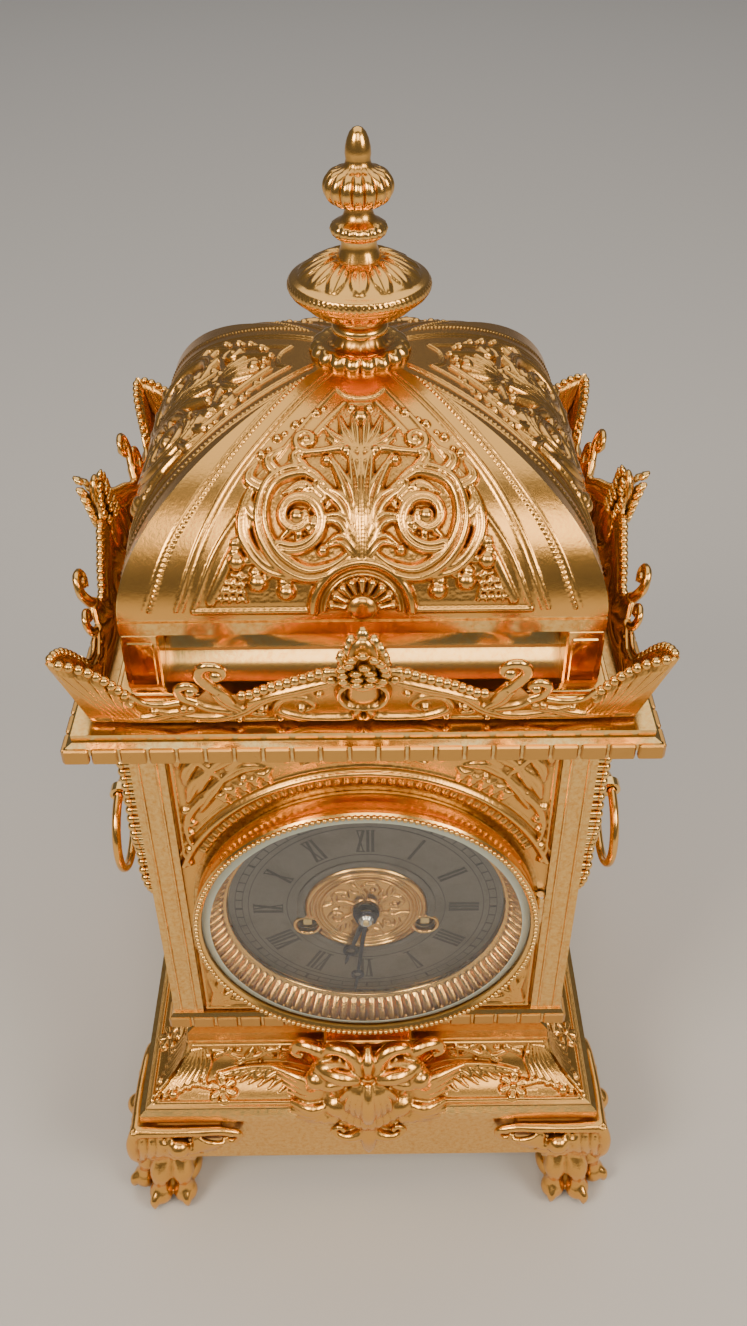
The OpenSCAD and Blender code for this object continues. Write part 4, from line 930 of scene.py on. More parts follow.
def frontOrnament(u, v):
    # u across, v up from the middle of the dial
    r = Relief(u, v)
    t = np.radians(np.linspace(18, 90, 80))
    arch = np.stack([panel["archR"] * np.cos(t), panel["archR"] * np.sin(t)], -1)
    spandrel = (np.hypot(u, v) > panel["archR"] + 1) & (v > 14)
    r.matted(0.16, spandrel | ((np.hypot(u, v) > 57.5) & (v < -30)))
    r.stroke(arch, 1.25, 1.5)
    r.stroke(arch * (64.4 / panel["archR"]), 0.5, 0.5)
    for p in evenly(arch * (58.9 / panel["archR"]), 2.9):
        if p[1] > 27:
            r.stroke([p * 0.985, p * 1.012], [1.15, 0.7], [0.9, 0.6], vein=0.3)
    r.stroke([(0, 76.4), (57.6, 76.4)], 0.8, 0.8)
    r.stroke([(57.4, 76.4), (57.4, -55.4)], 0.7, 0.7)
    r.stroke([(57.4, -55.4), (30, -55.4)], 1.1, 1.0)
    # straight stem from the corner with leaves on both sides, then scrolls along the arch
    r.stroke([(55, 74.2), (47.5, 65.4), (41.8, 58.6)], [0.6, 1.2, 1.3, 0.4], [1.0, 1.5, 1.5, 0.5], vein=0.25)
    leafSpray(r, (53.5, 72.6), [((46, 74.4), (50, 74.2)), ((55.6, 64), (55.2, 68.6))], 2.0)
    leafSpray(r, (49.6, 68), [((40.4, 71.8), (44.4, 71.2)), ((54.2, 57.4), (53.0, 62.6))], 2.6)
    leafSpray(r, (46, 63.8), [((34.2, 68.6), (39, 68.4)), ((53.8, 50), (51.8, 56.2)),
                              ((51.2, 53.4), (49, 58.6))], 2.9)
    leafSpray(r, (42.6, 59.6), [((29.6, 64.4), (35.4, 64.6)), ((50.4, 45.8), (48, 51.6))], 2.7)
    r.curl([(40.5, 64.5), (32, 70.6), (24.6, 72.6), (17.4, 70.8), (15.2, 67.6), (18.0, 66.2)], 50,
           [1.3, 1.6, 1.2, 0.8], 1.5, vein=0.25)
    leafSpray(r, (26, 72), [((18, 75.0), (22, 74.6)), ((23, 66.6), (24.2, 69.4))], 1.7)
    r.bead((17.4, 68.6), 1.3, 1.7)
    r.curl([(49, 52), (54.2, 44), (55.4, 36), (54, 31), (51.8, 33.2)], 44, [1.3, 1.5, 1.0, 0.7], 1.4,
           vein=0.25)
    for k in range(5):
        out = towards(50.5 + 3.4 * k)
        tips = [(out * 70.0 + (2.2, -1.0), out * 68.0 - (0.4, 0.6)), (out * 69.2 + (-2.6, 1.6), out * 67.4)]
        leafSpray(r, out * 64.6, tips, 1.5, 1.3)
        r.bead(out * 66.4, 0.8, 1.5)
    for at, size in (((55.0, 46.5), 1.4), ((53.6, 41), 1.6), ((54.6, 36.6), 1.4), ((55.2, 28.5), 1.7),
                     ((56.0, 22.6), 1.3), ((12.6, 73.6), 1.2), ((8.4, 74.6), 0.9), ((36.4, 60.2), 1.2)):
        r.bead(at, size, 1.6)
    # small sprays in the lower corners
    leafSpray(r, (55.4, -53.6), [((44, -53.2), (49.6, -50.8)), ((55.4, -40), (53.6, -46.6)),
                                 ((47, -46.2), (50.4, -48.8)), ((38.6, -51.8), (46, -51.6)),
                                 ((51.6, -36.4), (51.8, -44.4))], 2.3)
    for at in ((54.6, -34.4), (34.8, -53.2), (55.6, -29.6)):
        r.bead(at, 1.3, 1.4)
    r.mirrored()
    hinge = (np.abs(u) > 48) & (np.abs(v) < 21)
    r.h = np.where(hinge, 0.0, r.h)
    return np.clip(r.h, -0.3, 1.9)


shield = {"raise": 3.4, "dish": 4.7, "flare": 7.0, "beadPitch": 3.5, "bead": 1.75}
shieldOutline = smoothCurve([(52.5, 91.5), (51.4, 82), (53.8, 70), (53.2, 52), (54.2, 36), (51, 22),
                             (52, 8), (44, -5), (33, -10), (29, -21), (17, -25), (10, -33), (0, -39)], 150)


def shieldHeight(u, v):
    # the shield stands off the panel, dished behind the ring and flared out under the cornice
    rim = np.clip((np.abs(u) - 20) / 28, 0, 1)**1.4 * np.clip((v + 25) / 40, 0, 1)
    flare = np.clip((v - 66) / 25.5, 0, 1)**2
    return shield["raise"] + np.hypot(shield["dish"] * rim, shield["flare"] * flare)


def sideOrnament(u, v):
    # u across, v up from the handle's boss
    r = Relief(u, v)
    for x0, z0, x1, z1 in ((56.6, -40.6, 56.6, 90.6), (0, -40.6, 56.6, -40.6)):
        r.stroke([(x0, z0), (x1, z1)], 1.0, 1.1)
    leafSpray(r, (52, -37), [((36, -36), (44, -33)), ((53, -20), (52.6, -28)), ((43, -20), (47, -28)),
                             ((26, -35.5), (38, -33))], 3.2, 1.5)
    r.stroke(shieldOutline * 0.94 + (0, 1.5), 1.1, 1.2)
    r.stroke([(0, 88.5), (48, 88.5)], 1.0, 1.2)
    for k in range(12):
        out = towards(90 - k * 15)
        r.stroke([out * 15.5, out * 18.6, out * 21.5], [1.2, 2.3, 0.7], [1.2, 1.9, 0.9], vein=0.35)
    r.curl([(1.4, 26), (9, 33), (21, 35), (31, 41), (34, 52), (27, 60.5), (17, 57), (17.6, 48)], 90,
           [2.0, 3.0, 3.0, 2.4, 1.6], [2.0, 2.6, 2.4, 2.0], vein=0.35)
    r.bead((20.2, 50.2), 2.6, 2.8)
    leafSpray(r, (0.8, 38), [((1.6, 80), (0.8, 60)), ((10, 76), (5, 60)), ((20, 80), (9, 70)),
                             ((9.5, 62), (5.5, 52))], 5.0, 2.4)
    leafSpray(r, (31, 41), [((47, 39), (40, 36.6)), ((48, 52), (41, 45)), ((43, 66), (38.6, 54)),
                            ((33, 72), (32, 62))], 4.6, 2.3)
    leafSpray(r, (47.5, 83.5), [((33, 83.5), (41, 85)), ((47.5, 66), (49.4, 75)), ((38, 73), (43.4, 79)),
                                ((25, 79), (36, 80.6))], 4.0, 2.0)
    r.curl([(21, 6), (33, 3), (43.6, 10), (44.6, 21), (36, 25.6), (31, 18.6)], 60, [2.2, 2.8, 2.0, 1.2],
           [2.2, 2.3, 1.7], vein=0.35)
    r.bead((36.4, 16.0), 2.3, 2.5)
    r.curl([(20, -8), (30, -8.6), (36, -1), (30, 3.4)], 40, [2.0, 2.2, 1.2], 1.9, vein=0.3)
    leafSpray(r, (0.8, -22), [((0.6, -36), (0.6, -30)), ((8, -29.6), (5, -27)),
                              ((15.6, -21.6), (9, -24.4))], 3.6, 1.8)
    r.mirrored()
    outline = np.concatenate([shieldOutline, (shieldOutline * (-1, 1))[::-1]])
    return np.clip(r.h, -0.3, 2.6) + np.where(inside(u, v, outline), shieldHeight(u, v), 0.0)


def makeShieldBeads():
    # beads on short stems round the edge of both shields
    for side, name in ((1, "right"), (-1, "left")):
        heap = Heap()
        for flip in (1, -1):
            for p in evenly(shieldOutline, shield["beadPitch"]):
                if p[0] == 0 and flip < 0:
                    continue    # the lowest bead is shared
                x = case["panelY"] + shieldHeight(p[0], p[1]) - 0.1
                y, z = flip * p[0], case["handleZ"] + p[1]
                heap.add(*sphereSolid((side * x, y, z), [shield["bead"]] * 3, 8, 14))
                stem = [(side * (case["panelY"] - 0.2), y, z), (side * x, y, z)]
                heap.add(*tubeSolid(stem, [1.2, 1.5], side=(0, 0, 1)))
        heap.piece("shield_beading_" + name, giltBurnished, creases=80)


def rearOrnament(u, v):
    # a plain frame with leaves in its corners
    r = Relief(u, v)
    for x0, z0, x1, z1 in ((56, -54.6, 56, 76), (0, 76, 56, 76), (0, -54.6, 56, -54.6)):
        r.stroke([(x0, z0), (x1, z1)], 1.0, 0.9)
    for high, s in ((73, 1), (-51.6, -1)):
        tips = [((36, high - s), (45, high + 0.6 * s)), ((53, high - 17 * s), (54, high - 9 * s)),
                ((41, high - 8 * s), (46, high - 3 * s)), ((46, high - 14 * s), (50, high - 7 * s))]
        leafSpray(r, (53, high), tips, 3.0, 1.3)
    r.mirrored()
    return np.clip(r.h, -0.3, 1.4)


def panelSheet(ornament, quarter, name, middleZ, hole=None):
    # a flat panel with its ornament about the height middleZ, and a round hole at the dial's height
    cols = int(2 * panel["half"] / panel["cell"]) // 2 * 2 + 1
    rows = int((panel["high"] - panel["low"]) / panel["cell"])
    x = np.linspace(-panel["half"], panel["half"], cols)[None, :] + np.zeros((rows, 1))
    z = np.linspace(panel["low"], panel["high"], rows)[:, None] + np.zeros((1, cols))
    lift = ornament(x, z - middleZ) + panel["skin"]
    front = np.stack([x, -case["panelY"] - lift, z], -1)
    back = np.stack([x, -case["panelY"] + panel["sunk"] + 0 * x, z], -1)
    keep = np.ones((rows - 1, cols - 1), bool)
    if hole:
        r = np.hypot(x, z - case["dialZ"])
        near = np.abs(r - hole) < panel["cell"] * 0.75
        pull = np.where(near, hole / np.maximum(r, 1), 1.0)
        for sheet in (front, back):
            sheet[..., 0] *= pull
            sheet[..., 2] = case["dialZ"] + (sheet[..., 2] - case["dialZ"]) * pull
        middle = np.hypot((x[1:, 1:] + x[:-1, :-1]) / 2, (z[1:, 1:] + z[:-1, :-1]) / 2 - case["dialZ"])
        keep = middle > hole
    heap = Heap()
    heap.add(*slab(front, back, keep))
    return heap.turned(quarter).piece(name, giltCast, creases=75)


panelSheet(frontOrnament, 0, "front_panel_relief", case["dialZ"], panel["hole"])
panelSheet(sideOrnament, 1, "right_panel_relief", case["handleZ"])
panelSheet(rearOrnament, 2, "rear_panel_relief", case["dialZ"], panel["doorHole"])
panelSheet(sideOrnament, 3, "left_panel_relief", case["handleZ"])
makeShieldBeads()


fillet = {"across": (-61.6, -66.9, 61.6, 66.9), "low": 98.2, "high": 231.6, "half": 0.45}


def makePilasterFillets():
    # two thin raised lines up both faces of each pilaster
    heap = Heap()
    front, half = -case["bodyHalf"], fillet["half"]
    for quarter in range(4):
        for x in fillet["across"]:
            low, high = [x - half, front - half, fillet["low"]], [x + half, front + 0.3, fillet["high"]]
            heap.addTurned(quarter, *boxSolid(low, high, 0.2))
    heap.piece("pilaster_fillets", giltSatin, creases=30)


makePilasterFillets()
print("body panels done")

plinth = {"centreHalf": 87.0, "centreZ": 75.0, "r": 20.0, "start": -102.0, "end": -178.0, "rows": 90,
          "cols": 420, "skin": 0.35, "sunk": 0.35}


def plinthSheet(out):
    # one hollow slope of the plinth, lifted off the plain metal by out
    a = np.radians(np.linspace(plinth["start"], plinth["end"], plinth["rows"]))
    r = plinth["r"] - out
    half = (plinth["centreHalf"] + r * np.cos(a))[:, None]
    x = np.linspace(-1, 1, plinth["cols"])[None, :] * half
    z = (plinth["centreZ"] + r * np.sin(a))[:, None] + 0 * x
    points = np.stack([x, -half + 0 * x, z], -1)
    normal = np.stack([0 * x, np.cos(a)[:, None] + 0 * x, -np.sin(a)[:, None] + 0 * x], -1)
    s = plinth["r"] * np.abs(a - a[0])[:, None] + 0 * x
    return points, normal, x, s


def plinthOrnament(u, v):
    # v runs up the slope from the lip, about 26 long
    r = Relief(u, v)
    edge = 82.0 - v * 0.62
    r.matted(0.15, (v > 2.2) & (v < 24.5) & (np.abs(u) < edge - 1.5))
    r.stroke([(0, 24.8), (66, 24.8)], 0.7, 0.8)
    r.stroke([(0, 1.8), (80, 1.8)], 0.6, 0.6)
    # long feathered wing
    top = smoothCurve([(13, 4.5), (20, 10.6), (30, 14.6), (42, 15.2), (56.5, 12.6)], 70)
    r.stroke(top, [1.4, 1.9, 1.6, 1.3, 0.6], [1.8, 2.3, 2.0, 1.7, 0.9])
    for k in range(11):
        a = top[8 + k * 5]
        reach = 7.5 + 6.5 * math.sin(math.pi * (k + 1) / 12)
        tip = a + (reach * 0.9, -reach * (0.62 - 0.03 * k))
        tip[1] = max(tip[1], 2.6)
        r.curl([a, a + (reach * 0.5, -reach * 0.18), tip], 26, [0.9, 1.35, 1.1, 0.35], [1.3, 1.7, 1.4, 0.6],
               vein=0.3)
    for k in range(7):
        a = top[6 + k * 6]
        r.curl([a, a + (3.4, -1.6), a + (4.6, -4.4)], 14, [0.8, 1.2, 0.8], [1.6, 2.1, 1.4], vein=0.3)
    # scrolling sprig above the wing
    r.curl([(22, 16.5), (28, 21.6), (36, 22.6), (42, 19.4), (48, 18.6), (54, 21.4), (58, 22.2)], 80,
           [1.0, 1.4, 1.2, 0.7], [1.2, 1.7, 1.4, 0.9], vein=0.25)
    for root, tips in (((29, 21.8), [((25, 18.2), (26.4, 20.6)), ((33, 18.4), (31.6, 20.4))]),
                       ((38, 22), [((41, 24), (39.8, 23.6)), ((35, 18.6), (36, 20))]),
                       ((46, 18.8), [((43, 23.4), (44, 21)), ((50, 16.6), (48.4, 17))]),
                       ((54, 21.2), [((58, 17.6), (57, 19.8)), ((51.6, 24), (52, 22.6))])):
        leafSpray(r, root, tips, 1.9, 1.6)
    for at, size in (((24.6, 20.6), 1.2), ((33.0, 24.0), 1.0), ((48.6, 22.4), 1.3), ((60, 20.0), 1.2),
                     ((40.6, 17.6), 0.9)):
        r.bead(at, size, 1.6)
    # flower and ball near the corner
    flower = np.array([54.6, 6.6])
    for k in range(6):
        out = towards(60 * k + 20)
        r.stroke([flower + 1.6 * out, flower + 4.0 * out], [1.2, 1.9], [1.4, 1.6], vein=0.2)
    r.bead(flower, 1.7, 2.4)
    r.bead((73.2, 5.0), 2.2, 2.4)
    r.curl([(58.8, 7.2), (66, 8.6), (72, 6.2)], 24, [1.2, 1.3, 0.9], 1.4, vein=0.25)
    # tall fluted leaf in the corner
    for k in range(7):
        low = (62.0 + 2.9 * k, 10.8 - 1.0 * k)
        high = (60.4 + 0.95 * k, 23.6 - 0.2 * k)
        bend = ((low[0] + high[0]) / 2 - 1.6, (low[1] + high[1]) / 2 + 1.0)
        r.curl([high, bend, low], 30, [0.5, 1.1, 1.5], [0.9, 1.5, 1.9], vein=0.2)
    for k in range(7):
        r.bead((61.6 + 2.95 * k, 9.4 - 1.05 * k), 1.25, 1.7)
    # rising palmette in the middle, which the mask covers in front
    for k in range(6):
        c, s = towards(90 - 15 * k)
        r.curl([(0.6, 5), (6 * c, 5 + 8 * s), (13 * c, 5 + 15 * s)], 26, [0.8, 1.5, 1.9], [1.2, 1.8, 2.2],
               vein=0.3)
    r.bead((0, 4.6), 3.0, 2.8)
    r.mirrored()
    return np.clip(r.h, -0.3, 2.6) * np.clip(edge - np.abs(u), 0, 1)


def makePlinth():
    front, normal, u, v = plinthSheet(plinth["skin"])
    back = plinthSheet(-plinth["sunk"])[0]
    heap = Heap()
    heap.add(*slab(front + normal * plinthOrnament(u, v)[..., None], back))
    for quarter, side in enumerate(sides):
        heap.turned(quarter).piece("plinth_relief_" + side, giltCast, creases=80)


makePlinth()
print("plinth done")

mask = {"voxel": 0.5, "muzzle": (0, -83.0, 66.5), "muzzleSize": (10.8, 8.0, 13.0)}
foot = {"voxel": 0.62, "heel": 75.6, "corner": 87.2, "reach": 95.2}


def fused(heap, name, voxel, material, **kw):
    # joins overlapping solids into one skin, as one casting
    rough = heap.piece(name, material, **kw)
    mesh = rough.data
    remesh = rough.modifiers.new("fuse", "REMESH")
    remesh.mode = "VOXEL"
    remesh.voxel_size = voxel * mm
    remesh.use_smooth_shade = True
    soften = rough.modifiers.new("soften", "SMOOTH")
    soften.factor = 0.5
    soften.iterations = 1
    graph = bpy.context.evaluated_depsgraph_get()
    done = bpy.data.meshes.new_from_object(rough.evaluated_get(graph))
    rough.modifiers.clear()
    rough.data = done
    done.name = name
    if not len(done.materials):
        done.materials.append(material)
    bpy.data.meshes.remove(mesh)
    return rough


def both(heap, solid, *args, **kw):
    # adds a solid and its mirror image across x
    points, faces = solid(*args, **kw)
    points = np.asarray(points, float).reshape(-1, 3)
    heap.add(points, faces)
    heap.add(points * (-1, 1, 1), faces)


def curved(points, radii, count=20):
    # a tapering rod along a smooth curve
    return tubeSolid(smoothCurve(points, count), spreadOver(radii, count))


def makeMask():
    # a horned beast's mask: a bulging furred muzzle, hollow scrolled eyes, horns and a beard
    heap = Heap()
    heap.add(*sphereSolid((0, -80, 67), (13.0, 8.0, 15.5), 18, 28))
    heap.add(*sphereSolid(mask["muzzle"], mask["muzzleSize"], 20, 30))
    both(heap, sphereSolid, (11.5, -81.5, 79.0), (8.5, 5.0, 5.0), 14, 20)
    both(heap, sphereSolid, (11.0, -83.0, 58.5), (6.5, 5.5, 5.5), 14, 20)

    def onMuzzle(x, z, out):
        wide, deep, tall = mask["muzzleSize"]
        fall = max(0.05, 1 - (x / wide)**2 - ((z - mask["muzzle"][2]) / tall)**2)
        return (x, mask["muzzle"][1] - deep * math.sqrt(fall) - out, z)

    heap.add(*curved([onMuzzle(0, z, 0.6) for z in (78.0, 73.5, 69.0, 64.5, 60.0, 56.5)],
                     [1.6, 2.4, 3.0, 3.2, 2.8, 1.6], 30))
    # strands of fur down both sides, each as its share of the spread and its height
    strand = ((0.3, 78.0), (0.62, 74.5), (0.86, 70.5), (0.98, 66.5), (1.0, 62.5), (0.9, 58.5), (0.74, 56.0))
    for k in range(4):
        path = [onMuzzle((3.7 + 2.15 * k) * share, z, 0.45) for share, z in strand]
        both(heap, curved, path, [0.5, 0.85, 1.0, 1.0, 0.85, 0.4], 30)
    # eyes: a scroll round a dark hollow, with a ball at its shoulder
    both(heap, curved, [(8.5, -85, 75), (13.2, -85, 73.6), (19.2, -83, 71.6), (21.2, -81.4, 66.6),
                        (18.6, -81.2, 62.4), (14.0, -82.2, 62.6), (12.2, -83.4, 66.0), (14.0, -83.4, 68.6)],
         [2.2, 2.7, 2.7, 2.5, 2.3, 2.0, 1.6, 1.1], 44)
    both(heap, sphereSolid, (18.6, -83.2, 75.0), (4.4, 4.4, 4.1), 12, 18)
    both(heap, curved, [(3.4, -86, 78), (9, -86.4, 80.4), (15.0, -83.4, 79.4), (20.0, -79.6, 77.4)],
         [2.2, 3.2, 3.0, 1.6], 24)
    # horns curl round hollows beside the crest
    both(heap, curved, [(3.8, -83.6, 79), (4.6, -82.2, 85.0), (9.0, -80.6, 89.0), (14.0, -79.2, 87.2),
                        (14.6, -79.2, 83.2), (11.4, -80.2, 81.6), (9.0, -81.0, 84.0)],
         [2.9, 3.0, 2.9, 2.6, 2.2, 1.8, 1.3], 44)
    both(heap, curved, [(15.0, -79.4, 81.5), (19.6, -77.8, 86.4), (24.6, -76.2, 85.6), (26.6, -76.0, 81.4),
                        (23.8, -76.6, 79.4)], [2.1, 2.8, 2.6, 2.1, 1.6], 30)
    heap.add(*curved([(0, -84.6, 79), (0, -83.6, 86), (0, -79.5, 89.4)], [2.2, 2.6, 1.4]))
    # beard in locks
    for k in range(6):
        x = 1.1 + 2.3 * k
        low = 46.4 + 0.5 * k * k
        lock = [(x * 0.9, -88.6 + 0.8 * k, 60.5), (x * 1.15, -89.4 + 0.8 * k, 54.6),
                (x * 0.95, -87.6 + 0.5 * k, low)]
        both(heap, curved, lock, [1.5, 1.8, 0.7], 18)
    # scalloped leaves at the jaw, and the roots of the wings
    for k in range(6):
        a = math.radians(12 - 22 * k)
        tip = (15.5 + 13.5 * math.cos(a), -82.4 - 2.0 * math.sin(math.pi * k / 5), 56.5 + 9.0 * math.sin(a))
        bend = ((12.5 + tip[0]) / 2, -86.0, (58.0 + tip[2]) / 2 + 1)
        both(heap, curved, [(12.5, -82.0, 58.0), bend, tip], [2.0, 2.5, 1.5], 18)
    for k in range(4):
        bend, tip = (21, -82.6 + 0.6 * k, 62.4 + 2.2 * k), (30 + 2 * k, -79.6 + 1.5 * k, 61.4 + 3.0 * k)
        both(heap, curved, [(14, -80.5, 62 + k), bend, tip], [2.0, 2.3, 0.9], 22)
    # small double scroll under the beard and a pointed drop
    both(heap, curved, [(1.0, -87.0, 45.5), (5.6, -87.2, 41.8), (10.6, -86.8, 41.6), (13.2, -86.4, 44.8),
                        (10.8, -86.4, 46.8), (9.0, -86.8, 44.6)], [1.9, 2.3, 2.0, 1.6, 1.2, 1.0], 34)
    heap.add(*curved([(0, -86.0, 50), (0, -87.2, 42), (0, -86.8, 35.4), (0, -85.6, 27.5)],
                     [3.0, 3.6, 2.8, 0.7]))
    for low, high in (((-12, -85.2, 40), (12, -80, 62)), ((-16, -76, 58), (16, -68.5, 86))):
        heap.add(*boxSolid(low, high, 1.0))
    return fused(heap, "plinth_mask_casting", mask["voxel"], giltCast, replaces=["plinth_mask"])


def makePaw():
    # a lion's paw that points along -Y with its heel at the origin
    heap = Heap()
    heap.add(*sphereSolid((0, -3.0, 7.4), (11.0, 10.6, 7.6), 14, 22))
    heap.add(*curved([(0, -3.0, 8), (0, -4.5, 18), (0, -6.4, 28), (0, -7.6, 40)], [9.4, 8.2, 7.8, 6.6], 16))
    for turn, reach in ((-57, 0.87), (-19, 1.0), (19, 1.0), (57, 0.87)):
        out = np.array([math.sin(math.radians(turn)), -math.cos(math.radians(turn)), 0])

        def along(far, high):
            return tuple(out * far * reach + (0, 0, high))
        heap.add(*curved([along(4.5, 27.5), along(9.6, 22.6), along(13.4, 16.4), along(14.6, 10.2),
                          along(16.4, 5.4)], [3.2, 4.4, 4.6, 3.0, 4.0], 26))
        heap.add(*sphereSolid(along(12.6, 16.8), (4.8, 4.8, 4.2), 12, 16))
        heap.add(*sphereSolid(along(15.4, 5.4), (4.7, 4.7, 5.2), 12, 16))
        heap.add(*curved([along(17.2, 8.4), along(20.0, 6.2), along(20.6, 1.4)], [2.0, 1.9, 0.8], 12))
    return heap


def pawBracket():
    # leafed bracket along the plinth on both sides of a foot: corner at the origin, arms along +X and +Y
    heap = Heap()
    for swap in (False, True):
        def put(points, faces):
            points = np.asarray(points, float).reshape(-1, 3)
            heap.add(points[:, [1, 0, 2]] if swap else points, faces)
        put(*curved([(0, 0, 46.6), (12, -0.6, 47.0), (24, -0.4, 47.0), (33, 0, 46.4), (38.4, 0.2, 43.4),
                     (37.0, 0.2, 39.6), (33.2, 0.2, 39.4), (33.0, 0.2, 42.2)],
                    [2.6, 2.2, 2.0, 2.0, 1.9, 1.7, 1.4, 1.1], 54))
        put(*sphereSolid((15.6, -2.6, 39.6), (4.3, 4.0, 4.3), 12, 16))
        for k in range(7):
            a = math.radians(-5 - 28 * k)
            tip = (15.6 + 9.8 * math.cos(a), -1.2, 38.4 + 10.6 * math.sin(a))
            bend = ((15.6 + tip[0]) / 2, -2.6, (38.6 + tip[2]) / 2)
            put(*curved([(15.6, -0.8, 38.6), bend, tip], [1.2, 1.7, 1.0], 16))
        put(*curved([(21.5, -0.8, 43.5), (21.4, -1.8, 38.0), (17.4, -2.2, 34.4), (12.0, -2.4, 34.4),
                     (9.4, -2.4, 38.0), (10.6, -2.4, 42.6)], [1.4, 1.6, 1.7, 1.7, 1.6, 1.3], 40))
        for k in range(5):
            a = math.radians(-18 - 17 * k)
            tip = (21.5 + 12.0 * math.cos(a), -1.4, 43.0 + 9.0 * math.sin(a))
            bend = ((21.5 + tip[0]) / 2, -2.4, (44 + tip[2]) / 2)
            put(*curved([(21.5, -0.4, 44), bend, tip], [0.9, 1.35, 1.0], 16))
        for k in range(4):
            x = 1.4 + 3.5 * k
            leaf = [(x, -0.2, 45.4), (x + 0.4, -2.4, 41.0), (x * 0.9, -2.4, 34.5),
                    (x * 0.8 - 0.4, -0.2, 26.5 + 1.6 * k)]
            put(*curved(leaf, [1.2, 1.7, 1.6, 0.8], 22))
        put(*boxSolid((0, 1.2, 37.5), (32, 8, 48.5), 1.0))
        put(*boxSolid((0, 1.2, 24), (12, 8, 40), 1.0))
    heap.add(*curved([(-0.6, -0.6, 48), (-2.2, -2.2, 42), (-2.4, -2.4, 35), (-0.6, -0.6, 26)],
                     [1.9, 2.2, 2.0, 1.2], 22))
    return heap


def makeFeet():
    # the same foot four times, trimmed to the floor and to its reach
    paw, bracket, whole = makePaw(), pawBracket(), Heap()
    points, faces = paw.joined()
    whole.add(points @ turnAbout(-45).T + (-foot["heel"], -foot["heel"], 0), faces)
    points, faces = bracket.joined()
    whole.add(points + (-foot["corner"], -foot["corner"], 0), faces)
    for quarter, corner in enumerate(("front_left", "front_right", "rear_right", "rear_left")):
        name = "foot_" + corner
        piece = fused(whole.turned(quarter), name + "_paw", foot["voxel"], giltCast, replaces=[name])
        points = np.zeros(len(piece.data.vertices) * 3, np.float32)
        piece.data.vertices.foreach_get("co", points)
        points = points.reshape(-1, 3)
        points[:, 2] = np.maximum(points[:, 2], 0.0)
        points[:, :2] = np.clip(points[:, :2], -foot["reach"] * mm, foot["reach"] * mm)
        piece.data.vertices.foreach_set("co", points.ravel())
        piece.data.update()


makeMask()
makeFeet()
print("mask and feet done")

bezel = {"beadR": 54.9, "beadY": -80.3, "beads": 186, "beadSize": 0.86, "flutes": 96, "innerR": 45.8}
dial = {"front": 68.0, "centreR": (3.6, 17.9), "rings": (40.9, 43.3, 26.2, 38.9),
        "numeralR": 27.6, "numeralLong": 9.6, "letterGap": 0.55, "trackR": 41.0, "trackLong": 2.2,
        "windingX": 19.7, "windingDrop": 8.5}


def makeBezelBeads():
    heap = Heap()
    for k in range(bezel["beads"]):
        a = 2 * math.pi * k / bezel["beads"]
        at = (bezel["beadR"] * math.cos(a), bezel["beadY"], case["dialZ"] + bezel["beadR"] * math.sin(a))
        heap.add(*sphereSolid(at, [bezel["beadSize"]] * 3, 6, 10))
    heap.piece("bezel_beading", giltBurnished, body="bezel_door", creases=180)


def makeBevel():
    # bevelled edge of the glass, paler than the flat middle: its pale tint is a painted reflection of the
    # bevel
    section = [[50.6, 78.52], [53.35, 77.39], [53.35, 77.52], [50.75, 78.62]]
    points, faces = revolved(section, 180)
    addMesh("glass_bevel_edge", facingDial(points), faces, bevelSheenGlass, body="bezel_door", slot="dial_glass",
            creases=40)


def makeSightRing():
    # tapering ring of tongues between the glass and the dial
    low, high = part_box("sight_ring")
    frontY, backY = -low.y / mm, -high.y / mm
    outer = high.x / mm
    inner = bezel["innerR"]
    n = bezel["flutes"]
    section = [[outer, backY], [outer, frontY - 0.1], [outer - 0.5, frontY], [outer - 1.0, frontY - 0.5]]
    for k in range(15):
        fall = (frontY - backY - 1.5) * (k / 14)**1.15
        section.append([outer - 1.0 - (outer - inner - 2.0) * k / 14, frontY - 0.6 - fall])
    section += [[inner + 0.7, backY + 0.9], [inner + 0.2, backY + 0.8], [inner, backY + 0.3], [inner, backY]]
    section = np.array(section)

    def tongues(r, z, t):
        k = np.arange(len(section))[:, None]
        along = np.clip((k - 4) / 13.0, 0, 1)
        on = ((k >= 4) & (k <= 18)) * np.clip(np.sin(along * math.pi) * 4, 0, 1)
        wave = np.abs(((t * n / (2 * math.pi)) % 1) * 2 - 1)
        room = 0.82 * np.clip(1.15 - along * 0.25, 0, 1)
        tongue = np.sqrt(np.clip(1 - (wave / room)**2, 0, 1))
        dart = np.exp(-((1 - wave) / 0.1)**2) * 0.5
        return r, z + on * (1.25 * tongue + dart - 0.75)

    points, faces = revolved(section, n * 14, tongues)
    addMesh("sight_ring_tongues", facingDial(points), faces, giltBurnished, body="bezel_door", creases=70,
            replaces=["sight_ring"])


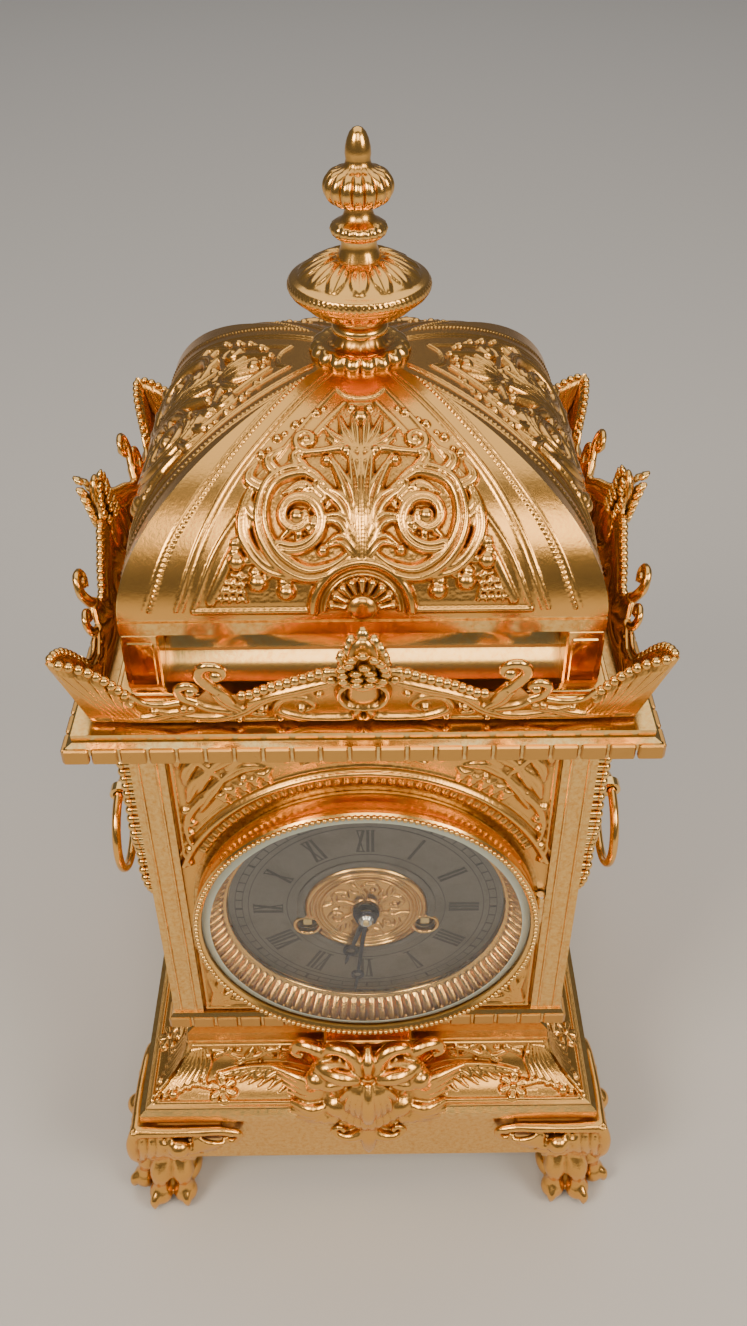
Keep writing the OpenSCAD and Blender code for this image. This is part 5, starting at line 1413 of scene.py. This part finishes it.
def makeDialCentre():
    # cast leaves and fine rings in the middle of the dial
    rows, cols = 110, 420
    r = np.linspace(*dial["centreR"], rows)[:, None] + np.zeros((1, cols))
    t = np.linspace(0, 2 * math.pi, cols, endpoint=False)[None, :] + np.zeros((rows, 1))
    u, v = r * np.cos(t), r * np.sin(t)
    relief = Relief(u, v)
    relief.matted(0.1, (r < 14.2))
    # one sixth of the pattern: strokes as path, width, height and vein, then two beads
    leaves = ((smoothCurve([(4.4, 0), (7.5, 1.6), (11.4, 0.8), (12.4, -2.4), (9.8, -3.8), (8.2, -2.2)], 50),
               [0.6, 0.95, 0.8, 0.5], [0.7, 1.0, 0.8], 0.25),
              ([(4.4, 0), (8, 0.2), (13.2, 3.6)], [0.6, 0.9, 0.3], [0.8, 0.9, 0.4], 0.3),
              (smoothCurve([(9.4, 1.6), (11.8, 4.6), (13.4, 5.8)], 20), [0.6, 0.9, 0.3], 0.8, 0.3),
              (smoothCurve([(8.0, 1.4), (7.6, 3.6), (9.4, 5.4)], 20), [0.5, 0.8, 0.3], 0.7, 0.3))
    for k in range(6):
        c, s = towards(30 + 60 * k)
        turn = np.array([[c, s], [-s, c]])
        for points, wide, high, vein in leaves:
            relief.stroke(np.asarray(points) @ turn, wide, high, vein)
        for at, radius, high in (((9.6, -2.2), 0.8, 1.0), ((12.9, -0.2), 0.5, 0.7)):
            relief.bead(np.array(at) @ turn, radius, high)
    for radius, wide, high in ((14.9, 0.5, 0.6), (16.2, 0.3, 0.35), (17.3, 0.35, 0.5), (4.6, 0.5, 0.7)):
        relief.h = np.maximum(relief.h, high * np.sqrt(np.clip(1 - ((r - radius) / wide)**2, 0, 1)))
    front = np.stack([u, v, dial["front"] + 0.5 + np.clip(relief.h, -0.1, 1.05)], -1)
    back = np.stack([u, v, dial["front"] + 0.2 + 0 * u], -1)
    points = facingDial(np.concatenate([front.reshape(-1, 3), back.reshape(-1, 3)]))
    face = gridFaces(rows, cols, closedCols=True)
    size = rows * cols
    k = np.arange(cols)
    k2 = (k + 1) % cols
    last = (rows - 1) * cols
    inner = np.stack([k2, k, k + size, k2 + size], -1)
    outer = np.stack([last + k, last + k2, last + k2 + size, last + k + size], -1)
    faces = np.concatenate([face[:, ::-1], face + size, inner[:, ::-1], outer[:, ::-1]])
    addMesh("dial_centre_leaves", points, [faces], giltCast, creases=70)


def makeNumerals():
    # radial numerals and a minute track in black wax, just proud of the ring
    y = dial["front"]
    strokes = {"I": [((0, 0), (0, 1))], "V": [((-1, 1), (0, 0)), ((1, 1), (0, 0))],
               "X": [((-1, 0), (1, 1)), ((1, 0), (-1, 1))]}
    width = {"I": 1.0, "V": 2.5, "X": 2.6}
    heap = Heap()

    def bar(turn, a, b, thick, inner, long):
        # a, b are [across, share of the length out from the radius inner]
        a, b = np.array([a[0], inner + a[1] * long]), np.array([b[0], inner + b[1] * long])
        d = (b - a) / np.linalg.norm(b - a)
        n = np.array([-d[1], d[0]]) * thick / 2
        c, s = math.cos(turn), math.sin(turn)
        ring = np.array([[p[0] * c + p[1] * s, -p[0] * s + p[1] * c] for p in (a - n, a + n, b + n, b - n)])
        points = np.concatenate([np.c_[ring, np.full(4, y - 0.08)], np.c_[ring, np.full(4, y + 0.12)]])
        around = [[k, k + 4, (k + 1) % 4 + 4, (k + 1) % 4] for k in range(4)]
        heap.add(facingDial(points), [np.array([[0, 1, 2, 3], [7, 6, 5, 4]] + around)])

    numeral = (dial["numeralR"], dial["numeralLong"])
    for hour, word in enumerate(("XII", "I", "II", "III", "IIII", "V", "VI", "VII", "VIII", "IX", "X", "XI")):
        turn = 2 * math.pi * hour / 12
        x = -(sum(width[c] for c in word) + dial["letterGap"] * (len(word) - 1)) / 2
        for c in word:
            middle = x + width[c] / 2
            spread = width[c] / 2 - 0.35
            for a, b in strokes[c]:
                thick = 0.95 if (c == "I" or a[0] < 0) else 0.42
                bar(turn, (middle + a[0] * spread, a[1]), (middle + b[0] * spread, b[1]), thick, *numeral)
            reach = width[c] / 2 + 0.1
            for level in (0, 1):
                bar(turn, (middle - reach, level), (middle + reach, level), 0.32, *numeral)
            x += width[c] + dial["letterGap"]
    for k in range(60):
        thick = 0.75 if k % 5 == 0 else 0.3
        bar(2 * math.pi * k / 60, (0, 0), (0, 1), thick, dial["trackR"], dial["trackLong"])
    heap.piece("dial_numerals", blackWax, slot="blued_steel", smooth=False)
    rings = Heap()
    for radius in dial["rings"]:
        inner, outer, low, high = radius - 0.11, radius + 0.11, y - 0.05, y + 0.1
        points, faces = revolved([[inner, low], [outer, low], [outer, high], [inner, high]], 160)
        rings.add(facingDial(points), faces)
    rings.piece("dial_track_rings", blackWax, slot="blued_steel", smooth=False)


def makeWindingRims():
    heap = Heap()
    section = [[3.75, 66.9]] + arcPoints((4.25, 68.2), 0.55, 180, 0, 8) + [[4.8, 66.9]]
    points, faces = revolved(section, 56)
    for side in (-1, 1):
        heap.add(facingDial(points) + (side * dial["windingX"], 0, -dial["windingDrop"]), faces)
    heap.piece("winding_hole_rims", giltBurnished, creases=60)


def arcSolid(section, start, end, parts):
    # part of a turned ring between two angles in degrees, with flat ends
    section = np.asarray(section, float)
    t = np.radians(np.linspace(start, end, parts))
    points = np.stack([section[:, :1] * np.cos(t), section[:, :1] * np.sin(t), section[:, 1:] + 0 * t], -1)
    ring = np.arange(len(section)) * parts
    fan = np.stack([np.full(len(ring) - 2, ring[0]), ring[1:-1], ring[2:]], -1)
    around = gridFaces(len(section), parts, closedRows=True)[:, ::-1]
    return facingDial(points), [around, fan, (fan + parts - 1)[:, ::-1]]


def makeDialStep():
    # gilt moulding round the middle and, outside it, a step in the darkened silvering as painted shade in the
    # gap beyond the moulding, both stopping short of the winding holes
    gilt = [[18.1, 68.0], [18.3, 69.0], [18.9, 69.35], [19.5, 69.1], [20.0, 68.7], [20.3, 68.0]]
    # the outer step is painted shade: a ring in the dark silvering where the gap beside the moulding lies in
    # shade
    step = [[20.4, 68.0], [20.5, 68.5], [21.0, 68.75], [22.4, 68.75], [23.0, 68.5], [23.1, 68.0]]
    for name, section, material, slot in (("dial_centre_moulding", gilt, giltSatin, "gilt_brass"),
                                          ("dial_centre_shade_step", step, shadedSilvering, "silvered_brass")):
        heap = Heap()
        for start, end in ((-11.0, 191.0), (-144.4, -35.6)):
            heap.add(*arcSolid(section, start, end, int((end - start) / 1.8)))
        heap.piece(name, material, slot=slot, creases=50)


makeBezelBeads()
makeBevel()
makeSightRing()
makeDialCentre()
makeNumerals()
makeWindingRims()
makeDialStep()
print("dial done")


rosette = {"petals": 10, "inner": 5.5, "long": 8.8, "stand": 4.6, "swell": 3.0}


def makeRosettes():
    # petals round each ring handle's boss
    for side, name in ((1, "right"), (-1, "left")):
        heap = Heap()
        for k in range(rosette["petals"]):
            a = 2 * math.pi * k / rosette["petals"]
            share = np.linspace(0, 1, 9)
            r = rosette["inner"] + rosette["long"] * share
            x = side * (case["panelY"] + rosette["stand"] + rosette["swell"] * np.sin(share * math.pi))
            path = np.stack([x, r * math.cos(a), case["handleZ"] + r * math.sin(a)], -1)
            heap.add(*tubeSolid(path, [1.4, 2.0, 2.5, 2.8, 2.9, 2.8, 2.4, 1.9, 1.2], 0.6, side=(side, 0, 0)))
        cup = [(side * (case["panelY"] + out), 0, case["handleZ"]) for out in (4, 9, 12)]
        heap.add(*tubeSolid(cup, [7.6, 5.4, 4.4], side=(0, 0, 1), parts=40))
        heap.piece("handle_rosette_" + name, giltCast, creases=60)


makeRosettes()
print("handle rosettes done")

bySlot = {"gilt_brass": giltBurnished, "movement_brass": movementBrass, "silvered_brass": shadedSilvering,
          "steel": polishedSteel,
          "blued_steel": bluedSteel, "bell_metal": bellMetal, "dial_glass": glassClear}
satinNodes = ("front_panel", "left_panel", "right_panel", "rear_panel", "dome_shell", "base_plinth",
              "corner_pilasters")


def finishNodes():
    # the plain castings under the ornament are satin, every other node takes its slot's finish
    for name, node in nodes.items():
        for socket in node.material_slots:
            label = socket.material.name.split(".")[0] if socket.material else "gilt_brass"
            satin = name in satinNodes and label == "gilt_brass"
            socket.material = giltSatin if satin else bySlot.get(label, giltBurnished)


finishNodes()
print("finishes done")

studio = {"key": 13, "fill": 10, "front": 7, "ceiling": 46, "sky": 0.14,
          "cameraAt": (0.0011, -0.3247, 0.4686), "pitch": -39.4, "yaw": 0.4, "roll": -0.3,
          "focal": 1199.0, "imageTall": 1326.0, "film": 36}


def makeFloor():
    bpy.ops.mesh.primitive_grid_add(x_subdivisions=40, y_subdivisions=40, size=6, location=(0, 0.6, 0))
    floor = bpy.context.object
    floor.name = "floor"
    material = bpy.data.materials.new("pale_floor")
    material.use_nodes = True
    shader = material.node_tree.nodes["Principled BSDF"]
    shader.inputs["Base Color"].default_value = (0.52, 0.51, 0.50, 1)
    shader.inputs["Roughness"].default_value = 0.75
    floor.data.materials.append(material)


def areaLight(name, at, aim, power, size, colour):
    data = bpy.data.lights.new(name, "AREA")
    data.energy = power
    data.color = colour
    data.shape = "SQUARE"
    data.size = size
    lamp = bpy.data.objects.new(name, data)
    bpy.context.scene.collection.objects.link(lamp)
    lamp.location = at
    lamp.rotation_euler = (Vector(aim) - Vector(at)).to_track_quat("-Z", "Y").to_euler()


def makeStudio():
    warm = (1.0, 0.86, 0.68)
    areaLight("key", (-0.75, -0.75, 1.05), (0, 0, 0.18), studio["key"], 0.5, warm)
    areaLight("fill", (0.85, -0.65, 0.85), (0, 0, 0.2), studio["fill"], 0.55, warm)
    areaLight("front", (0.1, -1.15, 1.35), (0, 0, 0.2), studio["front"], 0.7, warm)
    areaLight("ceiling", (0, 1.1, 2.5), (0, 1.0, 0), studio["ceiling"], 3.4, (1.0, 0.95, 0.88))
    world = bpy.data.worlds.new("studio_sky")
    world.use_nodes = True
    sky = world.node_tree.nodes["Background"]
    sky.inputs["Color"].default_value = (0.96, 0.97, 1.0, 1)
    sky.inputs["Strength"].default_value = studio["sky"]
    bpy.context.scene.world = world


def makeCamera():
    # focal length and picture height are in the same unit, so their ratio gives the lens
    p, y, r = (math.radians(studio[k]) for k in ("pitch", "yaw", "roll"))
    forward = Vector((math.sin(y) * math.cos(p), math.cos(y) * math.cos(p), math.sin(p)))
    right = Vector((math.cos(y), -math.sin(y), 0))
    up = right.cross(forward)
    tiltedRight = right * math.cos(r) + up * math.sin(r)
    tiltedUp = -right * math.sin(r) + up * math.cos(r)
    data = bpy.data.cameras.new("camera")
    data.sensor_width = studio["film"]
    data.lens = studio["focal"] / studio["imageTall"] * studio["film"]
    data.clip_start = 0.01
    camera = bpy.data.objects.new("camera", data)
    bpy.context.scene.collection.objects.link(camera)
    turn = Matrix((tiltedRight, tiltedUp, -forward)).transposed().to_4x4()
    camera.matrix_world = Matrix.Translation(studio["cameraAt"]) @ turn
    bpy.context.scene.camera = camera


makeFloor()
makeStudio()
makeCamera()
print("studio done")
